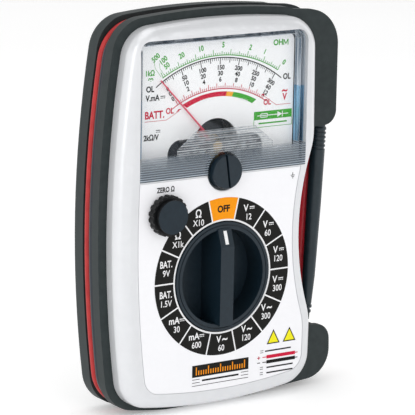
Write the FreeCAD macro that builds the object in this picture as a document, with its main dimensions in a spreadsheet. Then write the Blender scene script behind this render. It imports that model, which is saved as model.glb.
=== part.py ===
import FreeCAD, Part
import Sketcher
import math
import os
from types import SimpleNamespace

Vec = FreeCAD.Vector
os.makedirs("parts", exist_ok=True)
doc = FreeCAD.newDocument("multimeter")

# ---------------------------------------------------------------------------
# Driving sizes, millimetres and degrees. Across is left and right on the front
# panel and up is towards the display, both from the selector's centre. Deep is
# measured back from the panel face.
# ---------------------------------------------------------------------------
sheet = doc.addObject("Spreadsheet::Sheet", "Sizes")
VALUES = {
    # Front bezel outline: where each side's arc stands at its middle.
    "bezel_left": 41.8,
    "bezel_right": 39.6,
    "bezel_top": 88.4,
    "bezel_bottom": 45.3,
    "side_middle": 17.5,
    "left_round": 390.0,
    "top_round": 280.0,
    "right_round": 3000.0,
    "bottom_round": 200.0,
    "bezel_corner": 11.3,
    "waist_depth": 5.6,
    "waist_round": 90.0,
    "waist_height": 12.0,
    "waist_blend": 25.0,
    "bezel_deep": 7.9,
    "crown_round": 4.6,
    # Body behind the bezel.
    "body_side_inset": 3.1,
    "body_right_inset": 3.5,
    "body_end_inset": 5.0,
    "body_corner": 8.0,
    "wall": 2.0,
    "front_wall": 2.2,
    "split_deep": 12.0,
    "body_deep": 23.4,
    # Rubber boot.
    "boot_left_proud": 3.2,
    "boot_top_proud": 2.7,
    "boot_bottom_proud": 1.9,
    "boot_right_proud": 1.8,
    "boot_corner": 12.5,
    "boot_start": 8.0,
    "groove_front": 12.0,
    "groove_back": 17.7,
    "groove_floor": 1.2,
    "boot_lip": 3.0,
    "boot_back": 1.2,
    "boot_round": 2.4,
    "foot_drop": 46.5,
    "foot_deep": 20.0,
    "ear_reach": 52.5,
    "ear_front": 2.1,
    "ear_back_sunk": 1.4,
    "ear_back": 2.2,
    # Test leads and probes.
    "lead_diameter": 2.5,
    "lead_gap": 0.1,
    "black_lane": 13.3,
    "red_lane": 16.1,
    "lead_hole_gap": 0.3,
    "lead_entry": 29.5,
    "lead_start": -18.0,
    "lead_turn": 8.0,
    "lead_tail_turn": 16.0,
    "probe_across": 49.0,
    "probe_across_height": 41.0,
    "probe_slope": 3.1,
    "black_probe_deep": 13.3,
    "red_probe_deep": 19.1,
    "probe_thick": 5.2,
    "probe_neck": 3.4,
    "probe_tip_diameter": 2.0,
    "probe_tip_length": 17.0,
    "probe_tail": 56.0,
    "probe_low": -23.6,
    "tip_pocket_gap": 0.3,
    # Panel label.
    "label_left": 34.4,
    "label_right_inset": 4.8,
    "label_bottom_inset": 5.6,
    "label_top": 35.4,
    "label_corner": 6.0,
    "label_thick": 0.3,
    "label_gap": 0.25,
    # Display window and scale plate.
    "window_half": 33.8,
    "window_low": 35.8,
    "window_top_inset": 5.6,
    "window_corner": 4.0,
    "window_gap": 0.1,
    "window_thick": 1.8,
    "window_wall": 1.5,
    "rib_pitch": 0.8,
    "rib_wide": 0.45,
    "rib_proud": 0.35,
    "rib_count": 9,
    "hood_half": 19.4,
    "hood_top": 51.4,
    "hood_shoulder": 45.6,
    "hood_top_half": 12.0,
    "plate_deep": 5.5,
    "plate_thick": 0.8,
    "plate_gap": 0.4,
    "plate_low": 37.8,
    "plate_slot_half": 19.5,
    "plate_slot_corner": 5.0,
    "plate_slot_top": 47.7,
    "plate_hole": 9.4,
    "shelf_thick": 2.0,
    # Meter movement, on an axis square to the panel.
    "axis_height": 44.5,
    "shelf_hole": 14.5,
    "frame_thick": 1.2,
    "frame_half_wide": 20.0,
    "frame_half_high": 13.5,
    "yoke_outer": 13.5,
    "yoke_inner": 11.3,
    "yoke_long": 7.0,
    "core_radius": 7.2,
    "core_bore": 2.0,
    "core_long": 6.0,
    "bobbin_inner": 8.0,
    "bobbin_thick": 0.5,
    "bobbin_wide": 3.6,
    "bobbin_end_gap": 0.5,
    "winding_thick": 1.0,
    "winding_wide": 3.0,
    "staff_diameter": 1.2,
    "pointer_length": 33.5,
    "pointer_rest": 43.8,
    "pointer_thick": 0.4,
    "pointer_deep": 4.3,
    "pointer_root_deep": 7.0,
    "bridge_thick": 1.2,
    "bridge_wide": 3.6,
    "front_bridge_deep": 4.6,
    "rear_bridge_deep": 19.0,
    "jewel_diameter": 2.4,
    "spring_strip": 0.2,
    "spring_pitch": 0.55,
    "lever_thick": 0.5,
    "lever_deep": 6.0,
    # Meter zero screw.
    "zero_screw_height": 36.6,
    "zero_screw_diameter": 11.7,
    "zero_screw_proud": 2.5,
    "zero_screw_stem": 4.0,
    "zero_slot_wide": 0.8,
    "zero_slot_tilt": 98.0,
    "zero_pin_offset": 1.3,
    "zero_pin_diameter": 1.0,
    "fork_gap": 0.12,
    "turn_gap": 0.05,
    # Selector.
    "knob_radius": 19.0,
    "knob_clear": 0.4,
    "knob_proud": 0.4,
    "knob_long": 10.4,
    "knob_rim": 2.4,
    "knob_floor": 1.2,
    "knob_bar_wide": 5.4,
    "knob_bar_proud": 3.0,
    "knob_bar_inset": 2.2,
    "well_wall": 1.5,
    "well_floor": 1.4,
    "well_floor_gap": 0.4,
    "hub_diameter": 6.3,
    "rotor_radius": 15.0,
    "rotor_thick": 2.2,
    "rotor_gap": 0.4,
    "detent_ring": 12.0,
    "selector_steps": 14,
    # Circuit board.
    "board_deep": 15.8,
    "board_thick": 1.6,
    "board_left": 33.5,
    "board_right": 26.8,
    "board_high": 29.3,
    "board_low": -20.4,
    # Zero-ohm control.
    "ohm_across": -23.5,
    "ohm_height": 24.0,
    "ohm_knob_diameter": 14.0,
    "ohm_flange": 3.0,
    "ohm_disc_diameter": 11.5,
    "ohm_proud": 5.0,
    "ohm_lobes": 18,
    "ohm_shaft": 3.0,
    "ohm_pot_side": 10.0,
    "ohm_pot_thick": 5.0,
    # Battery.
    "cell_diameter": 14.2,
    "cell_length": 50.5,
    "cell_across": -2.5,
    "cell_height": -28.3,
    "cell_deep": 13.2,
    "door_left": 32.0,
    "door_right": 27.0,
    "door_low": 34.6,
    "door_high": 14.6,
    "door_thick": 1.4,
    "door_gap": 0.15,
    "door_ledge": 2.5,
    # Screws.
    "case_screw_shank": 2.6,
    "case_screw_head": 5.0,
    "small_screw_shank": 2.0,
    "small_screw_head": 3.8,
    "boss_radius": 2.8,
}
for row, (name, value) in enumerate(VALUES.items(), start=1):
    sheet.set(f"A{row}", name)
    sheet.set(f"B{row}", str(value))
    sheet.setAlias(f"B{row}", name)
sheet.Label = "Sizes"
doc.recompute()
S = SimpleNamespace(**{name: float(sheet.get(name)) for name in VALUES})

# Everything is drawn with the panel in the XY plane, facing +Z. This placement
# stands the meter upright on its boot, facing -Y, with the origin in the middle
# of the boot's rear foot.
STAND = FreeCAD.Placement(
    Vec(0, -S.foot_deep, S.foot_drop), FreeCAD.Rotation(Vec(1, 0, 0), 90)
)
pieces = []


def keep(piece, label):
    piece.Label = label
    pieces.append(piece)
    return piece


def shape_piece(label, shape):
    piece = doc.addObject("Part::Feature", label)
    piece.Shape = shape
    piece.Placement = STAND.multiply(shape.Placement)
    return keep(piece, label)


def body_piece(label):
    body = doc.addObject("PartDesign::Body", label)
    body.Placement = STAND
    return keep(body, label)


def sketch_on(body, level, name="Profile"):
    sketch = body.newObject("Sketcher::SketchObject", name)
    plane = next(p for p in body.Origin.OriginFeatures if p.Role == "XY_Plane")
    sketch.AttachmentSupport = [(plane, "")]
    sketch.MapMode = "FlatFace"
    sketch.setExpression("AttachmentOffset.Base.z", level)
    return sketch


def add_circle(sketch, across, up, radius):
    index = sketch.addGeometry(Part.Circle(Vec(0, 0, 0), Vec(0, 0, 1), 1), False)
    for kind, arguments, expression in (
        ("DistanceX", (-1, 1, index, 3, 1.0), across),
        ("DistanceY", (-1, 1, index, 3, 1.0), up),
        ("Radius", (index, 1.0), radius),
    ):
        number = sketch.addConstraint(Sketcher.Constraint(kind, *arguments))
        sketch.setExpression(f"Constraints[{number}]", expression)


def add_box(sketch, left, low, right, high):
    corners = [Vec(0, 0, 0), Vec(1, 0, 0), Vec(1, 1, 0), Vec(0, 1, 0)]
    lines = [
        sketch.addGeometry(Part.LineSegment(corners[i], corners[(i + 1) % 4]), False)
        for i in range(4)
    ]
    for i in range(4):
        sketch.addConstraint(
            Sketcher.Constraint("Coincident", lines[i], 2, lines[(i + 1) % 4], 1)
        )
    for line, kind in zip(lines, ("Horizontal", "Vertical", "Horizontal", "Vertical")):
        sketch.addConstraint(Sketcher.Constraint(kind, line))
    for kind, line, expression in (
        ("DistanceX", lines[0], left),
        ("DistanceY", lines[0], low),
        ("DistanceX", lines[2], right),
        ("DistanceY", lines[2], high),
    ):
        number = sketch.addConstraint(
            Sketcher.Constraint(kind, -1, 1, line, 1, 1.0)
        )
        sketch.setExpression(f"Constraints[{number}]", expression)


def add_wire(sketch, wire):
    for edge in wire.Edges:
        ends = [v.Point for v in edge.Vertexes]
        if len(ends) == 1:
            circle = edge.Curve
            sketch.addGeometry(Part.Circle(circle.Center, Vec(0, 0, 1), circle.Radius), False)
        elif edge.Curve.TypeId == "Part::GeomLine":
            sketch.addGeometry(Part.LineSegment(*ends), False)
        else:
            middle = edge.valueAt((edge.FirstParameter + edge.LastParameter) / 2)
            sketch.addGeometry(Part.Arc(ends[0], middle, ends[1]), False)


def feature(body, kind, level, length, circles=(), boxes=(), wires=(), name=None):
    """Pad or pocket that runs back, away from the viewer, from a level."""
    sketch = sketch_on(body, level)
    for circle in circles:
        add_circle(sketch, *circle)
    for box in boxes:
        add_box(sketch, *box)
    for wire in wires:
        add_wire(sketch, wire)
    doc.recompute()
    made = body.newObject(f"PartDesign::{kind}", name or kind)
    made.Profile = sketch
    made.Type = 0
    made.setExpression("Length", length)
    made.Reversed = kind == "Pad"
    doc.recompute()
    return made


def pad(body, level, length, **profile):
    return feature(body, "Pad", level, length, **profile)


def pocket(body, level, length, **profile):
    return feature(body, "Pocket", level, length, **profile)


# ---------------------------------------------------------------------------
# Outlines. Each side of the meter is one large arc, joined to the next by a
# tangent corner arc; the right side is drawn in to a waist.
# ---------------------------------------------------------------------------
def meet(first, first_reach, second, second_reach, near):
    """Centre at the two given distances from two centres, nearest a point."""
    gap = second.sub(first)
    span = gap.Length
    along = (first_reach**2 - second_reach**2 + span**2) / (2 * span)
    aside = math.sqrt(first_reach**2 - along**2)
    foot = first + gap * (along / span)
    normal = Vec(-gap.y, gap.x, 0) * (aside / span)
    return min((foot + normal, foot - normal), key=lambda p: p.distanceToPoint(near))


def outwards(centre, radius, through):
    ray = through.sub(centre)
    return centre + ray * (radius / ray.Length)


def side_arcs(left, right, top, bottom):
    """Centre and radius of each side, moved out by the given amounts."""
    return {
        "left": (Vec(S.left_round - S.bezel_left, S.side_middle, 0), S.left_round + left),
        "top": (Vec(0, S.bezel_top - S.top_round, 0), S.top_round + top),
        "right": (Vec(S.bezel_right - S.right_round, S.side_middle, 0), S.right_round + right),
        "bottom": (Vec(0, S.bottom_round - S.bezel_bottom, 0), S.bottom_round + bottom),
        "waist": (
            Vec(S.bezel_right - S.waist_depth + S.waist_round, S.waist_height, 0),
            S.waist_round - right,
        ),
    }


def outline(left, right, top, bottom, corner):
    """Closed outline moved out by the given amount on each side."""
    sides = side_arcs(left, right, top, bottom)
    blend = S.waist_blend + right
    order = [("top", "right", Vec(30, 80, 0)), ("right", "waist", Vec(38, 45, 0)),
             ("waist", "right", Vec(38, -20, 0)), ("right", "bottom", Vec(30, -40, 0)),
             ("bottom", "left", Vec(-32, -40, 0)), ("left", "top", Vec(-32, 80, 0))]
    joins = []
    for a, b, near in order:
        bent = "waist" in (a, b)
        radius = blend if bent else corner
        reach_a = sides[a][1] + radius if a == "waist" else sides[a][1] - radius
        reach_b = sides[b][1] + radius if b == "waist" else sides[b][1] - radius
        centre = meet(sides[a][0], reach_a, sides[b][0], reach_b, near)
        start = outwards(sides[a][0], sides[a][1], centre)
        end = outwards(sides[b][0], sides[b][1], centre)
        joins.append((start, outwards(centre, radius, (start + end) * 0.5), end, b))
    edges = []
    for i, (start, middle, end, side) in enumerate(joins):
        edges.append(Part.Arc(start, middle, end).toShape())
        following = joins[(i + 1) % len(joins)][0]
        centre, radius = sides[side]
        half = outwards(centre, radius, (end + following) * 0.5)
        edges.append(Part.Arc(end, half, following).toShape())
    return Part.Wire(edges)


def flat(wire):
    return Part.Face(wire)


def rounded(points):
    """Closed outline through corners given as across, up and corner radius."""
    count = len(points)
    corners = []
    for i in range(count):
        here = Vec(points[i][0], points[i][1], 0)
        radius = points[i][2]
        before = Vec(points[i - 1][0], points[i - 1][1], 0).sub(here).normalize()
        after = Vec(points[(i + 1) % count][0], points[(i + 1) % count][1], 0).sub(here).normalize()
        if radius == 0:
            corners.append((here, None, here))
            continue
        half = before.getAngle(after) / 2
        set_back = radius / math.tan(half)
        centre = here + (before + after).normalize() * (radius / math.sin(half))
        corners.append((here + before * set_back, outwards(centre, radius, here), here + after * set_back))
    edges = []
    for i in range(count):
        start, middle, end = corners[i]
        if middle is not None:
            edges.append(Part.Arc(start, middle, end).toShape())
        edges.append(Part.LineSegment(end, corners[(i + 1) % count][0]).toShape())
    return Part.Wire(edges)


def strip(left, low, right, high):
    return flat(Part.makePolygon([Vec(left, low, 0), Vec(right, low, 0), Vec(right, high, 0),
                                  Vec(left, high, 0), Vec(left, low, 0)]))


def rod(across, up, deep, radius, length):
    """Cylinder square to the panel, from a depth backwards."""
    return Part.makeCylinder(radius, length, Vec(across, up, -deep), Vec(0, 0, -1))


def brick(left, right, low, high, front, back):
    """Box between depths."""
    return Part.makeBox(right - left, high - low, back - front, Vec(left, low, -back))


bezel = outline(0, 0, 0, 0, S.bezel_corner)
body_out = outline(-S.body_side_inset, -S.body_right_inset, -S.body_end_inset,
                   -S.body_end_inset, S.body_corner)
cavity = outline(-S.body_side_inset - S.wall, -S.body_right_inset - S.wall,
                 -S.body_end_inset - S.wall, -S.body_end_inset - S.wall, S.body_corner - S.wall)
case_screw_places = [(-28.0, 71.0), (27.0, 71.0), (-30.5, -10.8), (23.8, -10.8)]
board_screw_places = [(-30.5, 14.0), (23.6, 25.6)]
frame_screw_places = [(-17.5, S.axis_height), (17.5, S.axis_height)]
well_outer = S.knob_radius + S.knob_clear + S.well_wall
well_back = S.knob_long - S.knob_proud + S.well_floor_gap + S.well_floor
plate_back = S.plate_deep + S.plate_thick
shelf_back = plate_back + S.shelf_thick
window_high = S.bezel_top - S.window_top_inset
axis = (0.0, S.axis_height)

# --- Front housing: grey moulded bezel with the selector well behind it -----
front = body_piece("front_housing")
crown = pad(front, "0", "Sizes.bezel_deep", wires=[bezel])
rim = [f"Edge{n}" for n, edge in enumerate(crown.Shape.Edges, 1)
       if abs(edge.BoundBox.ZMin - 0) < 0.001 and edge.BoundBox.ZLength < 0.001]
round_over = front.newObject("PartDesign::Fillet", "Crown")
round_over.Base = (crown, rim)
round_over.setExpression("Radius", "Sizes.crown_round")
doc.recompute()
pad(front, "-Sizes.bezel_deep", "Sizes.split_deep - Sizes.bezel_deep", wires=[body_out])
shelf_low = S.window_low - S.wall
lower = flat(cavity).common(strip(-60, -60, 60, shelf_low))
pocket(front, "-Sizes.front_wall", "Sizes.split_deep", wires=[lower.Faces[0].OuterWire])
pocket(front, "-(Sizes.plate_deep + Sizes.plate_thick + Sizes.shelf_thick)", "Sizes.split_deep",
       wires=[cavity])
window_hole = rounded([
    (-S.window_half - S.window_gap, S.window_low - S.window_gap, 0),
    (S.window_half + S.window_gap, S.window_low - S.window_gap, 0),
    (S.window_half + S.window_gap, window_high + S.window_gap, S.window_corner),
    (-S.window_half - S.window_gap, window_high + S.window_gap, S.window_corner)])
pocket(front, "1", "Sizes.plate_deep + Sizes.plate_thick + 1", wires=[window_hole])
pocket(front, "0", "Sizes.window_thick",
       circles=[("0", "Sizes.zero_screw_height", "Sizes.zero_screw_diameter / 2 + 0.9")])
pocket(front, "-Sizes.window_thick", "Sizes.split_deep",
       circles=[("0", "Sizes.axis_height", "Sizes.shelf_hole")])
label_outline = flat(outline(S.label_left - S.bezel_left,
                             -S.label_right_inset, 0, -S.label_bottom_inset,
                             S.label_corner)).common(strip(-60, -60, 60, S.label_top))
pocket(front, "0", "Sizes.label_thick", wires=[label_outline.Faces[0].OuterWire])
pad(front, "-Sizes.label_thick", f"{well_back} - Sizes.label_thick",
    circles=[("0", "0", "Sizes.knob_radius + Sizes.knob_clear + Sizes.well_wall")])
pocket(front, "0", f"{well_back} - Sizes.well_floor",
       circles=[("0", "0", "Sizes.knob_radius + Sizes.knob_clear")])
pocket(front, "0", f"{well_back} + 1",
       circles=[("0", "0", "Sizes.hub_diameter / 2 + Sizes.turn_gap")])
pocket(front, "0", "Sizes.front_wall + 1",
       circles=[("Sizes.ohm_across", "Sizes.ohm_height", "Sizes.ohm_shaft / 2 + 0.3")])
pad(front, "-Sizes.front_wall + 0.2", "Sizes.board_deep - Sizes.front_wall + 0.2",
    circles=[(str(x), str(y), "Sizes.boss_radius") for x, y in case_screw_places[2:]])
pad(front, "-Sizes.front_wall + 0.2", "Sizes.board_deep - Sizes.front_wall + 0.2",
    circles=[(str(x), str(y), "Sizes.boss_radius - 0.4") for x, y in board_screw_places])
pad(front, f"-{shelf_back} + 0.2", f"Sizes.split_deep - {shelf_back} + 0.2",
    circles=[(str(x), str(y), "Sizes.boss_radius") for x, y in case_screw_places[:2]])
pocket(front, "-Sizes.split_deep + 3", "Sizes.board_deep",
       circles=[(str(x), str(y), "Sizes.case_screw_shank / 2") for x, y in case_screw_places])
pocket(front, "-Sizes.split_deep + 3", "Sizes.board_deep",
       circles=[(str(x), str(y), "Sizes.small_screw_shank / 2") for x, y in board_screw_places])
pocket(front, f"-{plate_back} - 0.4", "Sizes.split_deep",
       circles=[(str(x), str(y), "Sizes.small_screw_shank / 2") for x, y in frame_screw_places])
plate_screw_reach = S.window_half - 7.8
plate_screw_places = [(-plate_screw_reach, 39.9), (plate_screw_reach, 39.9)]
pocket(front, f"-{plate_back}", "1.6",
       circles=[(str(x), str(y), "Sizes.small_screw_shank / 2") for x, y in plate_screw_places])

# --- Panel label: thin printed overlay set into the panel ------------------
label = body_piece("panel_label")
label_face = flat(outline(S.label_left - S.bezel_left - S.label_gap,
                          -S.label_right_inset - S.label_gap, 0,
                          -S.label_bottom_inset - S.label_gap, S.label_corner))
label_face = label_face.common(strip(-60, -60, 60, S.label_top - S.label_gap))
pad(label, "0", "Sizes.label_thick", wires=[label_face.Faces[0].OuterWire])
pocket(label, "0", "Sizes.label_thick + 1",
       circles=[("0", "0", "Sizes.knob_radius + Sizes.knob_clear"),
                ("Sizes.ohm_across", "Sizes.ohm_height", "Sizes.ohm_shaft / 2 + 0.3")])
pocket(label, "0", "Sizes.label_thick + 1",
       circles=[("0", "Sizes.zero_screw_height", "Sizes.zero_screw_diameter / 2 + 1.1")])

# --- Window: clear moulded cover, ribbed along its foot and over the pivot --
window = body_piece("window")
window_wire = rounded([
    (-S.window_half, S.window_low, 0), (S.window_half, S.window_low, 0),
    (S.window_half, window_high, S.window_corner),
    (-S.window_half, window_high, S.window_corner)])
pad(window, "0", "Sizes.plate_deep", wires=[window_wire])
pad(window, "0", "Sizes.window_thick",
    circles=[("0", "Sizes.zero_screw_height", "Sizes.zero_screw_diameter / 2 + 0.8")])
inner = S.window_half - S.window_wall
window_inner = rounded([
    (-inner, S.window_low - 8, 0), (inner, S.window_low - 8, 0),
    (inner, window_high - S.window_wall, S.window_corner - S.window_wall),
    (-inner, window_high - S.window_wall, S.window_corner - S.window_wall)])
pocket(window, "-Sizes.window_thick", "Sizes.plate_deep", wires=[window_inner])
pocket(window, "0", "Sizes.window_thick + 1",
       circles=[("0", "Sizes.zero_screw_height", "Sizes.zero_screw_stem / 2 + Sizes.turn_gap")])
for side in (-1, 1):
    left, right = sorted((side * 6.8, side * (S.window_half - 0.6)))
    rib = pad(window, "Sizes.rib_proud", "Sizes.rib_proud + 0.1",
              boxes=[(str(left), "Sizes.window_low + 0.6",
                      str(right), "Sizes.window_low + 0.6 + Sizes.rib_wide")])
    rows = window.newObject("PartDesign::LinearPattern", "Ribs")
    rows.Originals = [rib]
    rows.Direction = (rib.Profile[0], ["V_Axis"])
    rows.setExpression("Length", "Sizes.rib_pitch * (Sizes.rib_count - 1)")
    rows.setExpression("Occurrences", "Sizes.rib_count")
    window.Tip = rows
    doc.recompute()
hood = rounded([(-S.hood_half, S.window_low + 7.6, 0), (S.hood_half, S.window_low + 7.6, 0),
                (S.hood_half, S.hood_shoulder, 0.8), (S.hood_top_half, S.hood_top, 0.8),
                (-S.hood_top_half, S.hood_top, 0.8), (-S.hood_half, S.hood_shoulder, 0.8)])
hood_face = flat(hood)
pad(window, "0.25", "0.35", wires=[hood])
level = S.window_low + 7.8
while level < S.hood_top - S.rib_wide:
    row = hood_face.common(strip(-60, level, 60, level + S.rib_wide))
    pad(window, "Sizes.rib_proud + 0.2", "Sizes.rib_proud", wires=[row.Faces[0].OuterWire])
    level += S.rib_pitch

# --- Rear housing -----------------------------------------------------------
rear = body_piece("rear_housing")
pad(rear, "-Sizes.split_deep", "Sizes.body_deep - Sizes.split_deep", wires=[body_out])
pocket(rear, "-Sizes.split_deep", "Sizes.body_deep - Sizes.split_deep - Sizes.wall", wires=[cavity])
board_back = S.board_deep + S.board_thick
for places, start in ((case_screw_places[:2], "Sizes.split_deep"),
                      (case_screw_places[2:], "Sizes.board_deep + Sizes.board_thick")):
    pad(rear, f"-({start})", f"Sizes.body_deep - ({start})",
        circles=[(str(x), str(y), "Sizes.boss_radius") for x, y in places])
door_screw = (S.cell_across, -(S.door_high + 3.2))
pad(rear, "-Sizes.board_deep - Sizes.board_thick - 0.3",
    "Sizes.body_deep - Sizes.wall - Sizes.board_deep - Sizes.board_thick + 0.5",
    circles=[(str(door_screw[0]), str(door_screw[1]), "Sizes.boss_radius")])
pocket(rear, "-Sizes.body_deep + Sizes.door_thick", "Sizes.door_thick",
       boxes=[("-Sizes.door_left", "-Sizes.door_low", "Sizes.door_right", "-Sizes.door_high")])
pocket(rear, "-Sizes.body_deep + 4", "5",
       boxes=[("-Sizes.door_left + Sizes.door_ledge", "-Sizes.door_low + Sizes.door_ledge - 1.2",
               "Sizes.door_right - Sizes.door_ledge", "-Sizes.door_high - 6.6")])
pocket(rear, "-Sizes.split_deep + 1", "20",
       circles=[(str(x), str(y), "Sizes.case_screw_shank / 2 + 0.2") for x, y in case_screw_places])
pocket(rear, "-Sizes.body_deep + 2.2", "3",
       circles=[(str(x), str(y), "Sizes.case_screw_head / 2 + 0.2") for x, y in case_screw_places])
pocket(rear, "-Sizes.board_deep - Sizes.board_thick - 1.2", "9",
       circles=[(str(door_screw[0]), str(door_screw[1]), "Sizes.small_screw_shank / 2")])

# --- Battery door -----------------------------------------------------------
door = body_piece("battery_door")
pad(door, "-Sizes.body_deep + Sizes.door_thick", "Sizes.door_thick",
    boxes=[("-Sizes.door_left + Sizes.door_gap", "-Sizes.door_low + Sizes.door_gap",
            "Sizes.door_right - Sizes.door_gap", "-Sizes.door_high - Sizes.door_gap")])
grip = pocket(door, "-Sizes.body_deep + 0.5", "1",
              boxes=[("-Sizes.door_left + 4", "-Sizes.door_low + 5",
                      "-Sizes.door_left + 5", "-Sizes.door_high - 5")])
grips = door.newObject("PartDesign::LinearPattern", "Grips")
grips.Originals = [grip]
grips.Direction = (grip.Profile[0], ["H_Axis"])
grips.Length = 8
grips.Occurrences = 5
door.Tip = grips
doc.recompute()
pocket(door, "0", "Sizes.body_deep + 1",
       circles=[(str(door_screw[0]), str(door_screw[1]), "Sizes.small_screw_shank / 2 + 0.2")])

# --- Test leads: two, wound side by side round the boot's groove ------------
lead_radius = S.lead_diameter / 2
first_layer = lead_radius + 0.05
second_layer = first_layer + S.lead_diameter + S.lead_gap
groove = {"left": -S.body_side_inset + S.groove_floor, "right": -S.body_right_inset + S.groove_floor,
          "top": -S.body_end_inset + S.groove_floor, "bottom": -S.body_end_inset + S.groove_floor}
groove_corner = S.body_corner + S.groove_floor


def layer_sides(out):
    return side_arcs(groove["left"] + out, groove["right"] + out,
                     groove["top"] + out, groove["bottom"] + out)


def corner_between(first, second, radius, near):
    """Start, middle and end of the tangent arc between two sides."""
    centre = meet(first[0], first[1] - radius, second[0], second[1] - radius, near)
    start = outwards(first[0], first[1], centre)
    end = outwards(second[0], second[1], centre)
    return start, outwards(centre, radius, (start + end) * 0.5), end


def lead_path(probe_deep, lane):
    """Centre line from inside the housing round the groove to the probe's tail."""
    one = layer_sides(first_layer)
    two = layer_sides(second_layer)
    down = (Vec(S.lead_entry - S.right_round, -20, 0), S.right_round)
    tail_x = S.probe_across + (S.probe_tail - S.probe_across_height) * math.tan(
        math.radians(S.probe_slope))
    tail = (Vec(tail_x - S.right_round, S.probe_tail, 0), S.right_round)
    r_one = groove_corner + first_layer
    r_two = groove_corner + second_layer
    blend = S.waist_blend + groove["right"] + first_layer
    upper_blend = meet(one["right"][0], one["right"][1] - blend,
                       one["waist"][0], one["waist"][1] + blend, Vec(38, 45, 0))
    lower_blend = meet(one["right"][0], one["right"][1] - blend,
                       one["waist"][0], one["waist"][1] + blend, Vec(38, -20, 0))
    bends = [
        corner_between(down, one["bottom"], S.lead_turn, Vec(22, -34, 0)),
        corner_between(one["bottom"], one["left"], r_one, Vec(-30, -33, 0)),
        corner_between(one["left"], one["top"], r_one, Vec(-27, 75, 0)),
        corner_between(one["top"], one["right"], r_one, Vec(28, 75, 0)),
        (outwards(one["right"][0], one["right"][1], upper_blend), None,
         outwards(one["waist"][0], one["waist"][1], upper_blend)),
        (outwards(one["waist"][0], one["waist"][1], lower_blend), None,
         outwards(one["right"][0], one["right"][1], lower_blend)),
        corner_between(one["right"], two["bottom"], r_two, Vec(26, -33, 0)),
        corner_between(two["bottom"], two["left"], r_two, Vec(-30, -33, 0)),
        corner_between(two["left"], two["top"], r_two, Vec(-27, 75, 0)),
        corner_between(two["top"], tail, S.lead_tail_turn, Vec(32, 70, 0)),
    ]
    for number, centre in ((4, upper_blend), (5, lower_blend)):
        start, _, end = bends[number]
        bends[number] = (start, outwards(centre, blend, (start + end) * 0.5), end)
    runs = [one["bottom"], one["left"], one["top"], one["right"], one["waist"], one["right"],
            two["bottom"], two["left"], two["top"]]
    back = Vec(0, 0, -lane)
    edges = [Part.LineSegment(Vec(bends[0][0].x, S.lead_start, 0) + back,
                              bends[0][0] + back).toShape()]
    for number, (start, middle, end) in enumerate(bends):
        edges.append(Part.Arc(start + back, middle + back, end + back).toShape())
        if number < len(runs):
            centre, radius = runs[number]
            following = bends[number + 1][0]
            half = outwards(centre, radius, (end + following) * 0.5)
            edges.append(Part.Arc(end + back, half + back, following + back).toShape())
    start = bends[-1][2]
    finish = Vec(tail_x, S.probe_tail, 0)
    shift = probe_deep - lane
    if abs(shift) < 0.01:
        edges.append(Part.LineSegment(start + back, finish + back).toShape())
        return edges
    drop = start.y - finish.y
    lean = math.atan2(start.x - finish.x, drop)
    run = math.hypot(drop, start.x - finish.x)
    radius = (run**2 + shift**2) / (4 * shift)
    turn = math.asin(run / 2 / radius)

    def swing(angle, flip):
        along = radius * math.sin(angle)
        deep = radius * (1 - math.cos(angle))
        along, deep = (run - along, shift - deep) if flip else (along, deep)
        return Vec(start.x - along * math.sin(lean), start.y - along * math.cos(lean), -lane - deep)

    edges.append(Part.Arc(swing(0, False), swing(turn / 2, False), swing(turn, False)).toShape())
    edges.append(Part.Arc(swing(turn, True), swing(turn / 2, True), swing(0, True)).toShape())
    return edges


def tube(edges, radius):
    circle = Part.Circle(edges[0].valueAt(edges[0].FirstParameter),
                         edges[0].tangentAt(edges[0].FirstParameter), radius)
    path = Part.Wire(edges)
    return path.makePipeShell([Part.Wire([circle.toShape()])], True, False)


for colour, lane, probe_deep in (("black", S.black_lane, S.black_probe_deep),
                                 ("red", S.red_lane, S.red_probe_deep)):
    path = lead_path(probe_deep, lane)
    lead = shape_piece(f"{colour}_lead", tube(path, lead_radius))
    ideal = math.pi * lead_radius**2 * sum(edge.Length for edge in path)
    print(colour, "lead length", round(sum(edge.Length for edge in path), 1),
          "volume ratio", round(lead.Shape.Volume / ideal, 4))
entry_holes = [tube(lead_path(S.black_probe_deep, lane)[:3], lead_radius + S.lead_hole_gap)
               for lane in (S.black_lane, S.red_lane)]

# --- Boot: rubber holster with a lead groove all round and two probe ears ---
boot_deep = S.body_deep + S.boot_back
boot_body = doc.addObject("PartDesign::Body", "BootBody")
boot_lip = outline(S.boot_left_proud, S.boot_right_proud, S.boot_top_proud, S.boot_bottom_proud,
                   S.boot_corner)
floor_wire = outline(groove["left"], groove["right"], groove["top"], groove["bottom"],
                     groove_corner)
pad(boot_body, "-Sizes.boot_start", "Sizes.groove_front - Sizes.boot_start", wires=[boot_lip])
pad(boot_body, "-Sizes.groove_front", "Sizes.groove_back - Sizes.groove_front", wires=[floor_wire])
flange = pad(boot_body, "-Sizes.groove_back", "(Sizes.body_deep + Sizes.boot_back) - Sizes.groove_back", wires=[boot_lip])
back_rim = [f"Edge{n}" for n, edge in enumerate(flange.Shape.Edges, 1)
            if abs(edge.BoundBox.ZMax + boot_deep) < 0.001 and edge.BoundBox.ZLength < 0.001]
soften = boot_body.newObject("PartDesign::Fillet", "Soften")
soften.Base = (flange, back_rim)
soften.setExpression("Radius", "Sizes.boot_round")
doc.recompute()
ear_top = S.bezel_top - 1.4
ear_low = 2.0 - S.bezel_bottom
upper_ear = rounded([(20, 46, 0), (S.ear_reach, 47, 5), (S.ear_reach, ear_top, 13),
                     (20, ear_top + 2.8, 0)])
lower_ear = rounded([(20, -25, 0), (S.ear_reach - 0.6, -24.5, 6),
                     (S.ear_reach, ear_low, 10), (20, ear_low - 2.6, 0)])
back_plate = rounded([(20, ear_low - 2.6, 0), (S.ear_reach, ear_low, 10), (S.ear_reach, ear_top, 13),
                      (20, ear_top + 2.8, 0)])
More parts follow.
